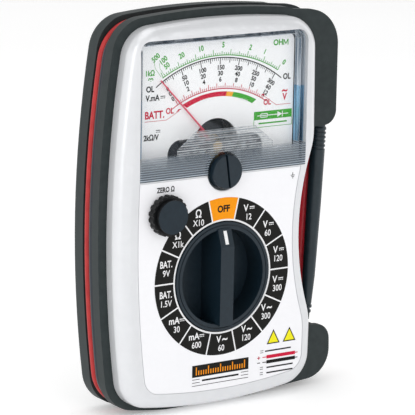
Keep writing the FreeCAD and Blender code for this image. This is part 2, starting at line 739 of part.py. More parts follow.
pad(boot_body, "-Sizes.boot_start", "Sizes.ear_front", wires=[upper_ear])
pad(boot_body, "-Sizes.boot_start", "Sizes.ear_front", wires=[lower_ear])
pad(boot_body, "-(Sizes.body_deep - Sizes.ear_back_sunk)", "Sizes.ear_back", wires=[back_plate])
plates_gap = "Sizes.body_deep - Sizes.ear_back_sunk - Sizes.boot_start - Sizes.ear_front"
upper_web = rounded([(40.6, 48, 0), (44.6, 48.5, 1), (44.6, 61, 1), (40.6, 62, 0)])
lower_web = rounded([(40.6, -43, 0), (S.ear_reach - 1.6, -42.4, 7),
                     (S.ear_reach - 1.6, -25.2, 4), (40.6, -25.6, 0)])
pad(boot_body, "-Sizes.boot_start - Sizes.ear_front", plates_gap, wires=[upper_web])
pad(boot_body, "-Sizes.boot_start - Sizes.ear_front", plates_gap, wires=[lower_web])
pocket(boot_body, "0", "Sizes.body_deep", wires=[body_out])
lip_hole = outline(-S.body_side_inset - S.boot_lip, -S.body_right_inset - S.boot_lip,
                   -S.body_end_inset - S.boot_lip, -S.body_end_inset - S.boot_lip,
                   S.body_corner - S.boot_lip)
pocket(boot_body, "0", "(Sizes.body_deep + Sizes.boot_back) + 1", wires=[lip_hole])
pocket(boot_body, "0", "(Sizes.body_deep + Sizes.boot_back) + 1",
       boxes=[("-60", "-Sizes.foot_drop - 5", "60", "-Sizes.foot_drop")])


def on_probe(height):
    """Where a probe's centre line stands at a height."""
    return S.probe_across + (height - S.probe_across_height) * math.tan(math.radians(S.probe_slope))


slope = Vec(math.sin(math.radians(S.probe_slope)), math.cos(math.radians(S.probe_slope)), 0)
tip_end = S.probe_low - S.probe_tip_length + 0.2
pockets = [Part.makeCylinder(S.probe_tip_diameter / 2 + S.tip_pocket_gap,
                             S.probe_tip_length + 6,
                             Vec(on_probe(tip_end - 0.4), tip_end - 0.4, -deep), slope)
           for deep in (S.black_probe_deep, S.red_probe_deep)]
neck_pockets = [Part.makeCylinder(S.probe_neck / 2 + S.tip_pocket_gap, 6,
                                  Vec(on_probe(S.probe_low - 2), S.probe_low - 2, -deep), slope)
                for deep in (S.black_probe_deep, S.red_probe_deep)]


def carve(base, cutters, label):
    """Cut shapes out of a finished body; the result is the kept piece."""
    tool = doc.addObject("Part::Feature", label + "_cutter")
    tool.Shape = Part.makeCompound(cutters)
    made = doc.addObject("Part::Cut", label)
    made.Base = base
    made.Tool = tool
    made.Placement = STAND
    return keep(made, label)


carve(boot_body, entry_holes + pockets + neck_pockets, "boot")
pieces.remove(rear)
rear.Placement = FreeCAD.Placement()
rear.Label = "RearBody"
carve(rear, entry_holes, "rear_housing")

# --- Probes: slim moulded handles with ribbed tails and bare steel tips -----
half = S.probe_thick / 2
neck = S.probe_neck / 2
for colour, deep in (("black", S.black_probe_deep), ("red", S.red_probe_deep)):
    grip_points = [(0, S.probe_low), (neck - 0.4, S.probe_low), (neck - 0.4, -21.2), (neck, -21.2),
                   (neck, -20.4), (neck - 0.4, -20.4), (neck - 0.4, -19.4), (neck + 0.2, -19.4),
                   (neck + 0.2, -18.6), (neck - 0.1, -18.6), (neck - 0.1, -18.2), (neck, -18.0),
                   (half - 0.35, -8.0), (half, 18.0),
                   (half, 37.6)]
    for ridge in range(5):
        base = 37.6 + 1.5 * ridge
        grip_points += [(half - 0.35, base + 0.1), (half - 0.35, base + 0.8), (half, base + 0.9),
                        (half, base + 1.5)]
    grip_points += [(half - 0.4, 45.6), (1.7, S.probe_tail), (0, S.probe_tail)]
    handle = doc.addObject("PartDesign::Body", f"{colour}_probe")
    profile = sketch_on(handle, "0")
    count = len(grip_points)
    for i in range(count):
        a, b = grip_points[i], grip_points[(i + 1) % count]
        profile.addGeometry(Part.LineSegment(Vec(a[0], a[1], 0), Vec(b[0], b[1], 0)), False)
    doc.recompute()
    turned = handle.newObject("PartDesign::Revolution", "Handle")
    turned.Profile = profile
    turned.ReferenceAxis = (profile, ["V_Axis"])
    turned.Angle = 360
    lean = FreeCAD.Placement(Vec(on_probe(0), 0, -deep),
                             FreeCAD.Rotation(Vec(0, 0, 1), -S.probe_slope))
    handle.Placement = STAND.multiply(lean)
    keep(handle, f"{colour}_probe")
    radius = S.probe_tip_diameter / 2
    shank = Part.makeCylinder(radius, S.probe_tip_length - 2.4,
                              Vec(0, S.probe_low, 0), Vec(0, -1, 0))
    point = Part.makeCone(radius, 0.25, 2.4, Vec(0, S.probe_low - S.probe_tip_length + 2.4, 0),
                          Vec(0, -1, 0))
    tip = doc.addObject("Part::Feature", f"{colour}_probe_tip")
    tip.Shape = shank.fuse(point).removeSplitter()
    tip.Placement = STAND.multiply(lean)
    keep(tip, f"{colour}_probe_tip")

# --- Selector: dished knob, index line, rotor, detent leaf and wipers -------
knob = body_piece("selector_knob")
pad(knob, "Sizes.knob_proud", "Sizes.knob_long", circles=[("0", "0", "Sizes.knob_radius")])
pocket(knob, "Sizes.knob_proud", "Sizes.knob_long - Sizes.knob_floor",
       circles=[("0", "0", "Sizes.knob_radius - Sizes.knob_rim")])
pocket(knob, "Sizes.knob_proud", "0.4",
       circles=[("0", "0", "Sizes.knob_radius - 0.9"), ("0", "0", "Sizes.knob_radius - 1.2")])
bar_half = S.knob_bar_wide / 2
reach = S.knob_radius - S.knob_bar_inset
grip_bar = rounded([(-bar_half, -reach, 0.6), (bar_half, -reach, 0.6), (bar_half, reach, 0.6),
                    (-bar_half, reach, 0.6)])
pad(knob, "Sizes.knob_bar_proud", "Sizes.knob_bar_proud + Sizes.knob_long - Sizes.knob_proud",
    wires=[grip_bar])
pad(knob, "-(Sizes.knob_long - Sizes.knob_proud)",
    "Sizes.well_floor_gap + Sizes.well_floor + Sizes.rotor_gap",
    circles=[("0", "0", "Sizes.hub_diameter / 2")])
knob.Placement = FreeCAD.Placement()
knob.Label = "KnobBody"
pieces.remove(knob)
slope_run = 7.0
slope_drop = 2.6
slope_foot = reach - 6.0
slope_cut = Part.Face(Part.makePolygon([
    Vec(-5, slope_foot, S.knob_bar_proud),
    Vec(-5, slope_foot + slope_run, S.knob_bar_proud - slope_drop),
    Vec(-5, slope_foot + slope_run, S.knob_bar_proud + 1),
    Vec(-5, slope_foot, S.knob_bar_proud + 1), Vec(-5, slope_foot, S.knob_bar_proud),
])).extrude(Vec(10, 0, 0))
index = Part.makeBox(1.3, 4.7, 0.4, Vec(-0.65, 0, -0.3))
index.Placement = FreeCAD.Placement(
    Vec(0, slope_foot + 0.9, S.knob_bar_proud - 0.9 * slope_drop / slope_run),
    FreeCAD.Rotation(Vec(1, 0, 0), -math.degrees(math.atan2(slope_drop, slope_run))))
line_cut = index.copy()
carve(knob, [slope_cut, line_cut], "selector_knob")
shape_piece("knob_index", index)
rotor_deep = well_back + S.rotor_gap
rotor_back = rotor_deep + S.rotor_thick
rotor = body_piece("selector_rotor")
pad(rotor, f"-{rotor_deep}", "Sizes.rotor_thick", circles=[("0", "0", "Sizes.rotor_radius")])
pocket(rotor, f"-{rotor_deep}", "Sizes.rotor_thick + 1",
       circles=[("0", "0", "Sizes.small_screw_shank / 2 + 0.2")])
pocket(rotor, f"-{rotor_deep}", "0.3",
       boxes=[("-1.7", "-Sizes.rotor_radius + 1", "1.7", "Sizes.rotor_radius - 1")])
leaf = Part.makeBox(3.2, 2 * S.rotor_radius - 3, 0.3,
                    Vec(-1.6, 1.5 - S.rotor_radius, -rotor_deep - 0.3))
for end in (-1, 1):
    ball = Part.makeSphere(0.8, Vec(0, end * S.detent_ring, -rotor_deep - 0.45))
    leaf = leaf.fuse(ball.common(brick(-2, 2, -20, 20, rotor_deep - S.rotor_gap + 0.05,
                                       rotor_deep + 0.2)))
leaf = leaf.cut(rod(0, 0, rotor_deep - 1, S.hub_diameter / 2, 3)).removeSplitter()
shape_piece("detent_leaf", Part.makeCompound(leaf.Solids))
wipers = []
for turn in (0, 120, 240):
    arm = brick(6.0, 13.4, -1.1, 1.1, rotor_back, rotor_back + 0.3)
    foot = brick(12.6, 13.4, -1.1, 1.1, rotor_back + 0.3, S.board_deep - 0.3)
    arm = arm.fuse(foot).removeSplitter()
    arm.rotate(Vec(0, 0, 0), Vec(0, 0, 1), turn)
    wipers.append(arm)
shape_piece("wiper_contacts", Part.makeCompound(wipers))


def screw(across, up, head_deep, head_diameter, shank_diameter, long, head_long=1.4, side=-1):
    """Pan-head screw; side -1 drives it in from the front, +1 from the back."""
    away = Vec(0, 0, side)
    start = Vec(across, up, -head_deep)
    head = Part.makeCylinder(head_diameter / 2, head_long, start, away * -1)
    head = head.makeFillet(head_long * 0.4, [e for e in head.Edges if e.BoundBox.ZLength < 0.001
                                             and abs(e.BoundBox.ZMin - (start - away * head_long).z) < 0.001])
    shank = Part.makeCylinder(shank_diameter / 2, long, start, away)
    whole = head.fuse(shank)
    for turn in (0, 90):
        arm = Part.makeBox(head_diameter * 0.62, 0.6, 1.4, Vec(-head_diameter * 0.31, -0.3, -0.7))
        arm.rotate(Vec(0, 0, 0), Vec(0, 0, 1), turn)
        arm.translate(start - away * head_long)
        whole = whole.cut(arm)
    return whole.removeSplitter()


shape_piece("rotor_screw", screw(0, 0, rotor_back, S.small_screw_head, S.small_screw_shank - 0.2,
                                 S.rotor_thick, head_long=0.9, side=1).common(
    brick(-5, 5, -5, 5, rotor_deep + 0.02, rotor_back + 0.9)))

# --- Circuit board and what stands on it ------------------------------------
board = body_piece("circuit_board")
pad(board, "-Sizes.board_deep", "Sizes.board_thick",
    boxes=[("-Sizes.board_left", "Sizes.board_low", "Sizes.board_right", "Sizes.board_high")])
pocket(board, "-Sizes.board_deep", "Sizes.board_thick + 1",
       circles=[("0", "0", "Sizes.small_screw_head / 2 + 1.5")])
pocket(board, "-Sizes.board_deep", "Sizes.board_thick + 1",
       circles=[(str(x), str(y), "Sizes.case_screw_shank / 2 + 0.2")
                for x, y in case_screw_places[2:]])
pocket(board, "-Sizes.board_deep", "Sizes.board_thick + 1",
       circles=[(str(x), str(y), "Sizes.small_screw_shank / 2 + 0.2") for x, y in board_screw_places])
steps = int(S.selector_steps)
pads_made = []
for number in range(steps):
    ring = rod(0, 0, S.board_deep - 0.1, 14.4, 0.1).cut(rod(0, 0, S.board_deep - 0.1, 11.4, 0.1))
    wedge = brick(0, 20, -1.6, 1.6, S.board_deep - 0.2, S.board_deep + 0.1)
    wedge.rotate(Vec(0, 0, 0), Vec(0, 0, 1), 90 - number * 360 / steps)
    pads_made.append(ring.common(wedge))
shape_piece("switch_pads", Part.makeCompound(pads_made))
resistors = []
for across, up in ((-31.6, 3.5), (-28.4, 3.5), (-25.2, 3.5), (-25.2, -8.5), (-24.0, 13.5), (24.6, 14)):
    stem = Part.makeCylinder(1.1, 6.4, Vec(across, up - 3.2, -S.board_deep + 1.3), Vec(0, 1, 0))
    legs = [brick(across - 0.3, across + 0.3, up + s * 3.8 - 0.3, up + s * 3.8 + 0.3,
                  S.board_deep - 1.6, S.board_deep) for s in (-1, 1)]
    wires = Part.makeCylinder(0.3, 8.2, Vec(across, up - 4.1, -S.board_deep + 1.3), Vec(0, 1, 0))
    resistors.append(stem.fuse([wires] + legs).removeSplitter())
shape_piece("resistors", Part.makeCompound(resistors))
diodes = []
for up in (-3.6, 4.4):
    stem = Part.makeCylinder(0.9, 4.0, Vec(24.6, up - 2, -S.board_deep + 1.1), Vec(0, 1, 0))
    wires = Part.makeCylinder(0.3, 6.6, Vec(24.6, up - 3.3, -S.board_deep + 1.1), Vec(0, 1, 0))
    legs = [brick(24.3, 24.9, up + s * 3 - 0.3, up + s * 3 + 0.3, S.board_deep - 1.4, S.board_deep)
            for s in (-1, 1)]
    diodes.append(stem.fuse([wires] + legs).removeSplitter())
shape_piece("diodes", Part.makeCompound(diodes))
fuse_left, fuse_up, fuse_deep = -2.0, 25.2, S.board_deep - 3.6
fuse = Part.makeCylinder(2.5, 20, Vec(fuse_left, fuse_up, -fuse_deep), Vec(1, 0, 0))
shape_piece("fuse", fuse)
clips = []
for across in (fuse_left + 1.0, fuse_left + 15.0):
    clip = brick(across, across + 4, fuse_up - 3, fuse_up + 3, fuse_deep - 1.4, S.board_deep)
    clip = clip.cut(Part.makeCylinder(2.5, 30, Vec(fuse_left - 5, fuse_up, -fuse_deep), Vec(1, 0, 0)))
    clip = clip.cut(brick(across - 1, across + 5, fuse_up - 2.2, fuse_up + 2.2,
                          fuse_deep - 3, fuse_deep))
    clips.append(clip)
shape_piece("fuse_clips", Part.makeCompound(clips))

# --- Zero-ohm control -------------------------------------------------------
pot_front = S.board_deep - S.ohm_pot_thick
side_half = S.ohm_pot_side / 2
pot = brick(S.ohm_across - side_half, S.ohm_across + side_half, S.ohm_height - side_half,
            S.ohm_height + side_half, pot_front, S.board_deep)
pot = pot.cut(rod(S.ohm_across, S.ohm_height, pot_front - 1, S.ohm_shaft / 2 + S.turn_gap,
                  S.ohm_pot_thick))
shape_piece("zero_ohm_pot", pot)
shaft = doc.addObject("Part::Cylinder", "zero_ohm_shaft")
shaft.setExpression("Radius", "Sizes.ohm_shaft / 2")
shaft.setExpression("Height", "Sizes.board_deep - 1.5")
shaft.Placement = STAND.multiply(FreeCAD.Placement(
    Vec(S.ohm_across, S.ohm_height, -(S.board_deep - 1.3)), FreeCAD.Rotation()))
keep(shaft, "zero_ohm_shaft")
ohm_knob = body_piece("zero_ohm_knob")
pad(ohm_knob, "Sizes.ohm_flange", "Sizes.ohm_flange - 0.2",
    circles=[("Sizes.ohm_across", "Sizes.ohm_height", "Sizes.ohm_knob_diameter / 2")])
pad(ohm_knob, "Sizes.ohm_proud", "Sizes.ohm_proud - Sizes.ohm_flange",
    circles=[("Sizes.ohm_across", "Sizes.ohm_height", "Sizes.ohm_disc_diameter / 2")])
ohm_knob.Placement = FreeCAD.Placement()
ohm_knob.Label = "OhmKnobBody"
pieces.remove(ohm_knob)
scallops = []
for number in range(int(S.ohm_lobes)):
    angle = 2 * math.pi * number / S.ohm_lobes
    scallops.append(Part.makeCylinder(
        0.75, S.ohm_flange + 1,
        Vec(S.ohm_across + (S.ohm_knob_diameter / 2 + 0.3) * math.cos(angle),
            S.ohm_height + (S.ohm_knob_diameter / 2 + 0.3) * math.sin(angle), 0)))
socket = Part.makeCylinder(S.ohm_shaft / 2, 0.4, Vec(S.ohm_across, S.ohm_height, -0.2))
carve(ohm_knob, scallops + [socket], "zero_ohm_knob")

# --- Meter zero screw -------------------------------------------------------
zero_radius = S.zero_screw_diameter / 2
head = Part.makeCylinder(zero_radius, S.zero_screw_proud - 0.1, Vec(0, S.zero_screw_height, 0.1))
head = head.makeFillet(0.5, [e for e in head.Edges if abs(e.BoundBox.ZMin - S.zero_screw_proud) < 0.001])
slot = Part.makeBox(20, S.zero_slot_wide, 2, Vec(-10, -S.zero_slot_wide / 2, S.zero_screw_proud - 1.2))
slot.rotate(Vec(0, 0, 0), Vec(0, 0, 1), S.zero_slot_tilt)
slot.translate(Vec(0, S.zero_screw_height, 0))
stem = rod(0, S.zero_screw_height, -0.1, S.zero_screw_stem / 2, S.window_thick + 0.2)
collar = rod(0, S.zero_screw_height, S.window_thick + 0.1, S.zero_screw_stem / 2 + 0.6, 0.8)
crank = rod(0, S.zero_screw_height - S.zero_pin_offset, S.window_thick + 0.9,
            S.zero_pin_diameter / 2, S.lever_deep + 0.2 - S.window_thick - 0.4)
shape_piece("meter_zero_screw", head.cut(slot).fuse([stem, collar, crank]).removeSplitter())

# --- Meter movement: ring yoke, core magnet, swinging coil and pointer ------
frame_plate = brick(-S.frame_half_wide, S.frame_half_wide, S.axis_height - S.frame_half_high,
                    S.axis_height + S.frame_half_high, shelf_back, shelf_back + S.frame_thick)
frame_plate = frame_plate.cut(rod(*axis, shelf_back - 1, S.yoke_inner, 5))
for x, y in frame_screw_places:
    frame_plate = frame_plate.cut(rod(x, y, shelf_back - 1, S.small_screw_shank / 2 + 0.2, 5))
shape_piece("movement_frame", frame_plate)
yoke_front = shelf_back + S.frame_thick
yoke_back = yoke_front + S.yoke_long
yoke_ring = doc.addObject("Part::Cylinder", "YokeOuter")
yoke_ring.setExpression("Radius", "Sizes.yoke_outer")
yoke_ring.setExpression("Height", "Sizes.yoke_long")
yoke_bore = doc.addObject("Part::Cylinder", "YokeBore")
yoke_bore.setExpression("Radius", "Sizes.yoke_inner")
yoke_bore.setExpression("Height", "Sizes.yoke_long")
yoke = doc.addObject("Part::Cut", "movement_yoke")
yoke.Base = yoke_ring
yoke.Tool = yoke_bore
yoke.Placement = STAND.multiply(FreeCAD.Placement(Vec(*axis, -yoke_back), FreeCAD.Rotation()))
keep(yoke, "movement_yoke")
core_front = yoke_front + (S.yoke_long - S.core_long) / 2
core_back = core_front + S.core_long
core_rod = doc.addObject("Part::Cylinder", "CoreRod")
core_rod.setExpression("Radius", "Sizes.core_radius")
core_rod.setExpression("Height", "Sizes.core_long")
core_hole = doc.addObject("Part::Cylinder", "CoreHole")
core_hole.setExpression("Radius", "Sizes.core_bore")
core_hole.setExpression("Height", "Sizes.core_long")
core = doc.addObject("Part::Cut", "core_magnet")
core.Base = core_rod
core.Tool = core_hole
core.Placement = STAND.multiply(FreeCAD.Placement(Vec(*axis, -core_back), FreeCAD.Rotation()))
keep(core, "core_magnet")
brackets = []
for side in (-1, 1):
    near, far = sorted((side * (S.core_radius - 1), side * (S.yoke_inner + 1)))
    bracket = brick(near, far, S.axis_height - 2, S.axis_height + 2, core_front + 1.6,
                    core_back - 1.6)
    bracket = bracket.cut(rod(*axis, 0, S.core_radius, 30))
    brackets.append(bracket.common(rod(*axis, 0, S.yoke_inner, 30)))
shape_piece("core_brackets", Part.makeCompound(brackets))
bridge_reach = S.yoke_outer
leg = S.yoke_outer - S.yoke_inner
wide = S.bridge_wide / 2
front_bridge = brick(-bridge_reach, bridge_reach, S.axis_height - wide, S.axis_height + wide,
                     S.front_bridge_deep, S.front_bridge_deep + S.bridge_thick)
rear_bridge = brick(-bridge_reach, bridge_reach, S.axis_height - wide, S.axis_height + wide,
                    S.rear_bridge_deep, S.rear_bridge_deep + S.bridge_thick)
for side in (-1, 1):
    near, far = sorted((side * (bridge_reach - leg + 0.3), side * bridge_reach))
    front_bridge = front_bridge.fuse(brick(near, far, S.axis_height - wide, S.axis_height + wide,
                                           S.front_bridge_deep, shelf_back))
    rear_bridge = rear_bridge.fuse(brick(near, far, S.axis_height - 1, S.axis_height + 1,
                                         yoke_back, S.rear_bridge_deep + S.bridge_thick))
jewel = S.jewel_diameter / 2
front_bridge = front_bridge.cut(rod(*axis, 0, jewel, 30)).removeSplitter()
rear_bridge = rear_bridge.cut(rod(*axis, 0, jewel, 30)).removeSplitter()
shape_piece("front_bridge", front_bridge)
shape_piece("rear_bridge", rear_bridge)
staff = S.staff_diameter / 2
front_jewel = rod(*axis, S.front_bridge_deep - 0.5, jewel + 0.6, 0.5).fuse(
    rod(*axis, S.front_bridge_deep, jewel, S.lever_deep + S.lever_thick - S.front_bridge_deep))
front_jewel = front_jewel.cut(rod(*axis, S.front_bridge_deep + 1, staff + 0.05, 3))
rear_jewel = rod(*axis, S.rear_bridge_deep + S.bridge_thick, jewel + 0.6, 0.5).fuse(
    rod(*axis, S.rear_bridge_deep, jewel, S.bridge_thick))
rear_jewel = rear_jewel.cut(rod(*axis, S.rear_bridge_deep - 1, staff + 0.05, 1.8))
shape_piece("jewel_screws", Part.makeCompound([front_jewel.removeSplitter(),
                                               rear_jewel.removeSplitter()]))


def at_rest(shape):
    """Turn a piece drawn along +X to the pointer's rest, about the axis."""
    made = shape.copy()
    made.rotate(Vec(0, 0, 0), Vec(0, 0, 1), 90 + S.pointer_rest)
    made.translate(Vec(*axis, 0))
    return made


def loop(inner_half, inner_front, inner_back, thick, width):
    outer = brick(-inner_half - thick, inner_half + thick, -width / 2, width / 2,
                  inner_front - thick, inner_back + thick)
    return outer.cut(brick(-inner_half, inner_half, -width, width, inner_front, inner_back))


coil_front = core_front - S.bobbin_end_gap
coil_back = core_back + S.bobbin_end_gap
bobbin = loop(S.bobbin_inner, coil_front, coil_back, S.bobbin_thick, S.bobbin_wide)
winding = loop(S.bobbin_inner + S.bobbin_thick, coil_front - S.bobbin_thick,
               coil_back + S.bobbin_thick, S.winding_thick, S.winding_wide)
shape_piece("coil_bobbin", at_rest(bobbin))
shape_piece("coil_winding", at_rest(winding))
winding_front = coil_front - S.bobbin_thick - S.winding_thick
winding_back = coil_back + S.bobbin_thick + S.winding_thick
staff_front = S.front_bridge_deep + 1.1
staff_back = S.rear_bridge_deep + 0.7
staffs = [rod(*axis, staff_front, staff, winding_front - staff_front),
          rod(*axis, winding_back, staff, staff_back - winding_back)]
shape_piece("pivot_staffs", Part.makeCompound(staffs))
root = S.pointer_root_deep
thick = S.pointer_thick
pointer = brick(-3.4, 8.6, -0.35, 0.35, root, root + thick)
pointer = pointer.fuse(rod(0, 0, root, 1.4, thick))
pointer = pointer.fuse(brick(8.2, 8.6, -0.35, 0.35, S.pointer_deep, root + thick))
blade = flat(Part.makePolygon([
    Vec(8.2, -0.28, 0), Vec(S.pointer_length, -0.18, 0), Vec(S.pointer_length, 0.18, 0),
    Vec(8.2, 0.28, 0), Vec(8.2, -0.28, 0)])).extrude(Vec(0, 0, -thick))
blade.translate(Vec(0, 0, -S.pointer_deep))
pointer = pointer.fuse(blade).cut(rod(0, 0, 0, staff, 30)).removeSplitter()
shape_piece("pointer", at_rest(pointer))
weight = brick(-3.4, -2.2, -0.9, 0.9, root - 0.5, root)
shape_piece("pointer_weight", at_rest(weight))


def spiral(front_deep, height, turns):
    """Flat spiral strip of half-circle arcs, centred on the axis."""
    step = S.spring_pitch / 2
    strip_wide = S.spring_strip
    outer, inner = [], []
    radius = staff + 0.5
    centre = 0.0
    side = 1
    for _ in range(turns * 2):
        for path, reach in ((inner, radius), (outer, radius + strip_wide)):
            path.append((centre, reach, side))
        radius += step
        centre += side * step
        side = -side
    edges = []
    for path in (inner, outer):
        for middle, reach, turn in path:
            edges.append(Part.Arc(Vec(middle + turn * reach, 0, 0), Vec(middle, turn * reach, 0),
                                  Vec(middle - turn * reach, 0, 0)).toShape())
    for spot in (0, -1):
        a, b = inner[spot], outer[spot]
        sign = a[2] if spot == 0 else -a[2]
        edges.append(Part.LineSegment(Vec(a[0] + sign * a[1], 0, 0),
                                      Vec(b[0] + sign * b[1], 0, 0)).toShape())
    wire = Part.Wire(Part.sortEdges(edges)[0])
    made = flat(wire).extrude(Vec(0, 0, -height))
    made.translate(Vec(*axis, -front_deep))
    return made


front_spring_deep = root + thick + 0.1
shape_piece("hairspring_front", spiral(front_spring_deep, 0.3, 5))
shape_piece("hairspring_rear", spiral(winding_back + 0.2, 0.3, 5))
lever_ring = rod(*axis, S.lever_deep, jewel + 1.0, S.lever_thick)
pin_reach = S.axis_height - S.zero_screw_height + S.zero_pin_offset
arm = brick(-1.6, 1.6, S.axis_height - pin_reach - 1.3, S.axis_height - jewel - 0.3,
            S.lever_deep, S.lever_deep + S.lever_thick)
fork = brick(-S.zero_pin_diameter / 2 - S.fork_gap, S.zero_pin_diameter / 2 + S.fork_gap,
             S.axis_height - pin_reach - 2, S.axis_height - pin_reach + 1.2,
             S.lever_deep - 1, S.lever_deep + 2)
spring_end = staff + 0.5 + 5 * S.spring_pitch
tab = brick(-0.6, 0.6, S.axis_height - spring_end - 1.9, S.axis_height - spring_end - 1.3,
            S.lever_deep, front_spring_deep + 0.3)
lever = lever_ring.fuse([arm, tab]).cut(rod(*axis, 0, jewel + S.turn_gap, 30)).cut(fork)
shape_piece("zero_lever", lever.removeSplitter())

# --- Scale plate ------------------------------------------------------------
plate = body_piece("scale_plate")
plate_half = inner - S.plate_gap
plate_wire = rounded([
    (-plate_half, S.plate_low, 0), (plate_half, S.plate_low, 0),
    (plate_half, window_high - S.window_wall - S.plate_gap, S.window_corner - S.window_wall),
    (-plate_half, window_high - S.window_wall - S.plate_gap, S.window_corner - S.window_wall)])
pad(plate, "-Sizes.plate_deep", "Sizes.plate_thick", wires=[plate_wire])
pocket(plate, "-Sizes.plate_deep", "Sizes.plate_thick + 1",
       circles=[("0", "Sizes.axis_height", "Sizes.plate_hole")])
slot_outline = rounded([
    (-S.plate_slot_half, S.plate_low - 1, 0), (S.plate_slot_half, S.plate_low - 1, 0),
    (S.plate_slot_half, S.plate_slot_top, S.plate_slot_corner),
    (-S.plate_slot_half, S.plate_slot_top, S.plate_slot_corner)])
pocket(plate, "-Sizes.plate_deep", "Sizes.plate_thick + 1", wires=[slot_outline])
pocket(plate, "-Sizes.plate_deep", "Sizes.plate_thick + 1",
       circles=[(str(x), str(y), "Sizes.small_screw_shank / 2 + 0.2") for x, y in plate_screw_places])

# --- Battery cell and its contacts ------------------------------------------
cell_left = S.cell_across - S.cell_length / 2
cell_right = S.cell_across + S.cell_length / 2
cell = Part.makeCylinder(S.cell_diameter / 2, S.cell_length - 1.0,
                         Vec(cell_left, S.cell_height, -S.cell_deep), Vec(1, 0, 0))
button = Part.makeCylinder(2.7, 1.0, Vec(cell_right - 1.0, S.cell_height, -S.cell_deep), Vec(1, 0, 0))
shape_piece("battery_cell", cell.fuse(button).removeSplitter())
positive = brick(cell_right, cell_right + 0.5, S.cell_height - 5, S.cell_height + 9.5,
                 S.cell_deep - 4, S.cell_deep + 2).fuse(
    brick(cell_right - 3.5, cell_right, S.cell_height + 7.6, S.cell_height + 8.1,
          S.cell_deep - 4, S.cell_deep + 2))
negative = brick(cell_left - 3.4, cell_left - 2.9, S.cell_height - 5, S.cell_height + 7.5,
                 S.cell_deep - 4, S.cell_deep + 4)
for low in (-4.0, 1.0):
    negative = negative.fuse(brick(cell_left - 3.0, cell_left, S.cell_height + low,
                                   S.cell_height + low + 0.4, S.cell_deep - 3, S.cell_deep + 3))
negative = negative.fuse(brick(cell_left - 0.4, cell_left, S.cell_height - 4.0,
                               S.cell_height + 1.4, S.cell_deep - 3, S.cell_deep + 3))
shape_piece("cell_contacts", Part.makeCompound([positive.removeSplitter(),
                                                negative.removeSplitter()]))

# --- Lead clamp and soldered terminals inside the housing -------------------
entry = lead_path(S.black_probe_deep, 0)[0].Vertexes[0].X
clamp = brick(entry - 2.2, entry + 2.2, -29.0, -25.0, S.black_lane - 2.2, S.red_lane + 2.2)
terminals = []
for lane in (S.black_lane, S.red_lane):
    clamp = clamp.cut(Part.makeCylinder(lead_radius, 10, Vec(entry, -32, -lane), Vec(0, 1, 0)))
    barrel = Part.makeCylinder(lead_radius + 0.1, 3.4, Vec(entry, S.lead_start, -lane), Vec(0, 1, 0))
    terminals.append(barrel)
shape_piece("lead_clamp", clamp)
tab_left = S.board_right
black_tab = brick(tab_left - 2.4, entry, S.lead_start + 0.6, S.lead_start + 2.2,
                  S.black_lane - 0.25, S.black_lane + 0.25).fuse(
    brick(tab_left - 2.4, tab_left - 1.9, S.lead_start + 0.6, S.lead_start + 2.2,
          S.black_lane - 0.25, S.board_deep))
red_tab = brick(tab_left, entry, S.lead_start + 0.6, S.lead_start + 2.2,
                S.red_lane - 0.25, S.red_lane + 0.25)
terminals[0] = terminals[0].fuse(black_tab).removeSplitter()
terminals[1] = terminals[1].fuse(red_tab).removeSplitter()
shape_piece("lead_terminals", Part.makeCompound(terminals))

# --- Screws -----------------------------------------------------------------
recess = S.body_deep - 2.2
shape_piece("case_screws", Part.makeCompound([
    screw(x, y, recess, S.case_screw_head, S.case_screw_shank, recess - S.split_deep + 2.8, side=1)
    for x, y in case_screw_places]))
shape_piece("board_screws", Part.makeCompound([
    screw(x, y, board_back, S.small_screw_head, S.small_screw_shank, 6.5, head_long=1.2, side=1)
    for x, y in board_screw_places]))
shape_piece("frame_screws", Part.makeCompound([
    screw(x, y, yoke_front, S.small_screw_head, S.small_screw_shank, 2.7, head_long=1.2, side=1)
    for x, y in frame_screw_places]))
shape_piece("plate_screws", Part.makeCompound([
    screw(x, y, S.plate_deep, S.small_screw_head, S.small_screw_shank, 2.2, head_long=0.9)
    for x, y in plate_screw_places]))
shape_piece("door_screw", screw(*door_screw, S.body_deep, S.small_screw_head, S.small_screw_shank,
                                4.0, head_long=1.0, side=1))

# --- Checks and export ------------------------------------------------------
doc.recompute()
failed = [o.Name for o in doc.Objects if {"Invalid", "Error"} & set(o.State)]
for piece in pieces:
    if piece.Shape.isNull() or not piece.Shape.isValid() or not piece.Shape.Solids:
        failed.append(piece.Label)
if failed:
    raise RuntimeError(f"failed to build: {failed}")
for piece in pieces:
    piece.Shape.exportStep(os.path.join("parts", piece.Label + ".step"))
    box = piece.Shape.BoundBox
    print(f"{piece.Label:18s} {len(piece.Shape.Solids)} solids {piece.Shape.Volume:10.1f} "
          f"x {box.XMin:.1f} {box.XMax:.1f} y {box.YMin:.1f} {box.YMax:.1f} "
          f"z {box.ZMin:.1f} {box.ZMax:.1f}")
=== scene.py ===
import math

import bmesh
import bpy
from mathutils import Euler, Matrix, Vector


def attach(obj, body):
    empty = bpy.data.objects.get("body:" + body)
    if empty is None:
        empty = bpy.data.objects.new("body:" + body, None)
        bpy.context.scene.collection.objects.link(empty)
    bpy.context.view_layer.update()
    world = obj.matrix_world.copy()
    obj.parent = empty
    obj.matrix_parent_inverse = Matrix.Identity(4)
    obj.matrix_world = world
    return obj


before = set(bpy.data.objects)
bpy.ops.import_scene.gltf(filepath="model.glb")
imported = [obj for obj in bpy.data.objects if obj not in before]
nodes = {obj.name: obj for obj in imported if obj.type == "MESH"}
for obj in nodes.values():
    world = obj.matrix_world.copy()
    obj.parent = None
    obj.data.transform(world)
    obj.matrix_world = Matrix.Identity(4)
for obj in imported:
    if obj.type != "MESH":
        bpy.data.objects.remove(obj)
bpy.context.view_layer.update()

# Bench, lights and camera: a pale table top under large soft lamps, with the
# meter standing on its boot and seen a little from its left and above.
bpy.context.scene.view_settings.view_transform = "Standard"
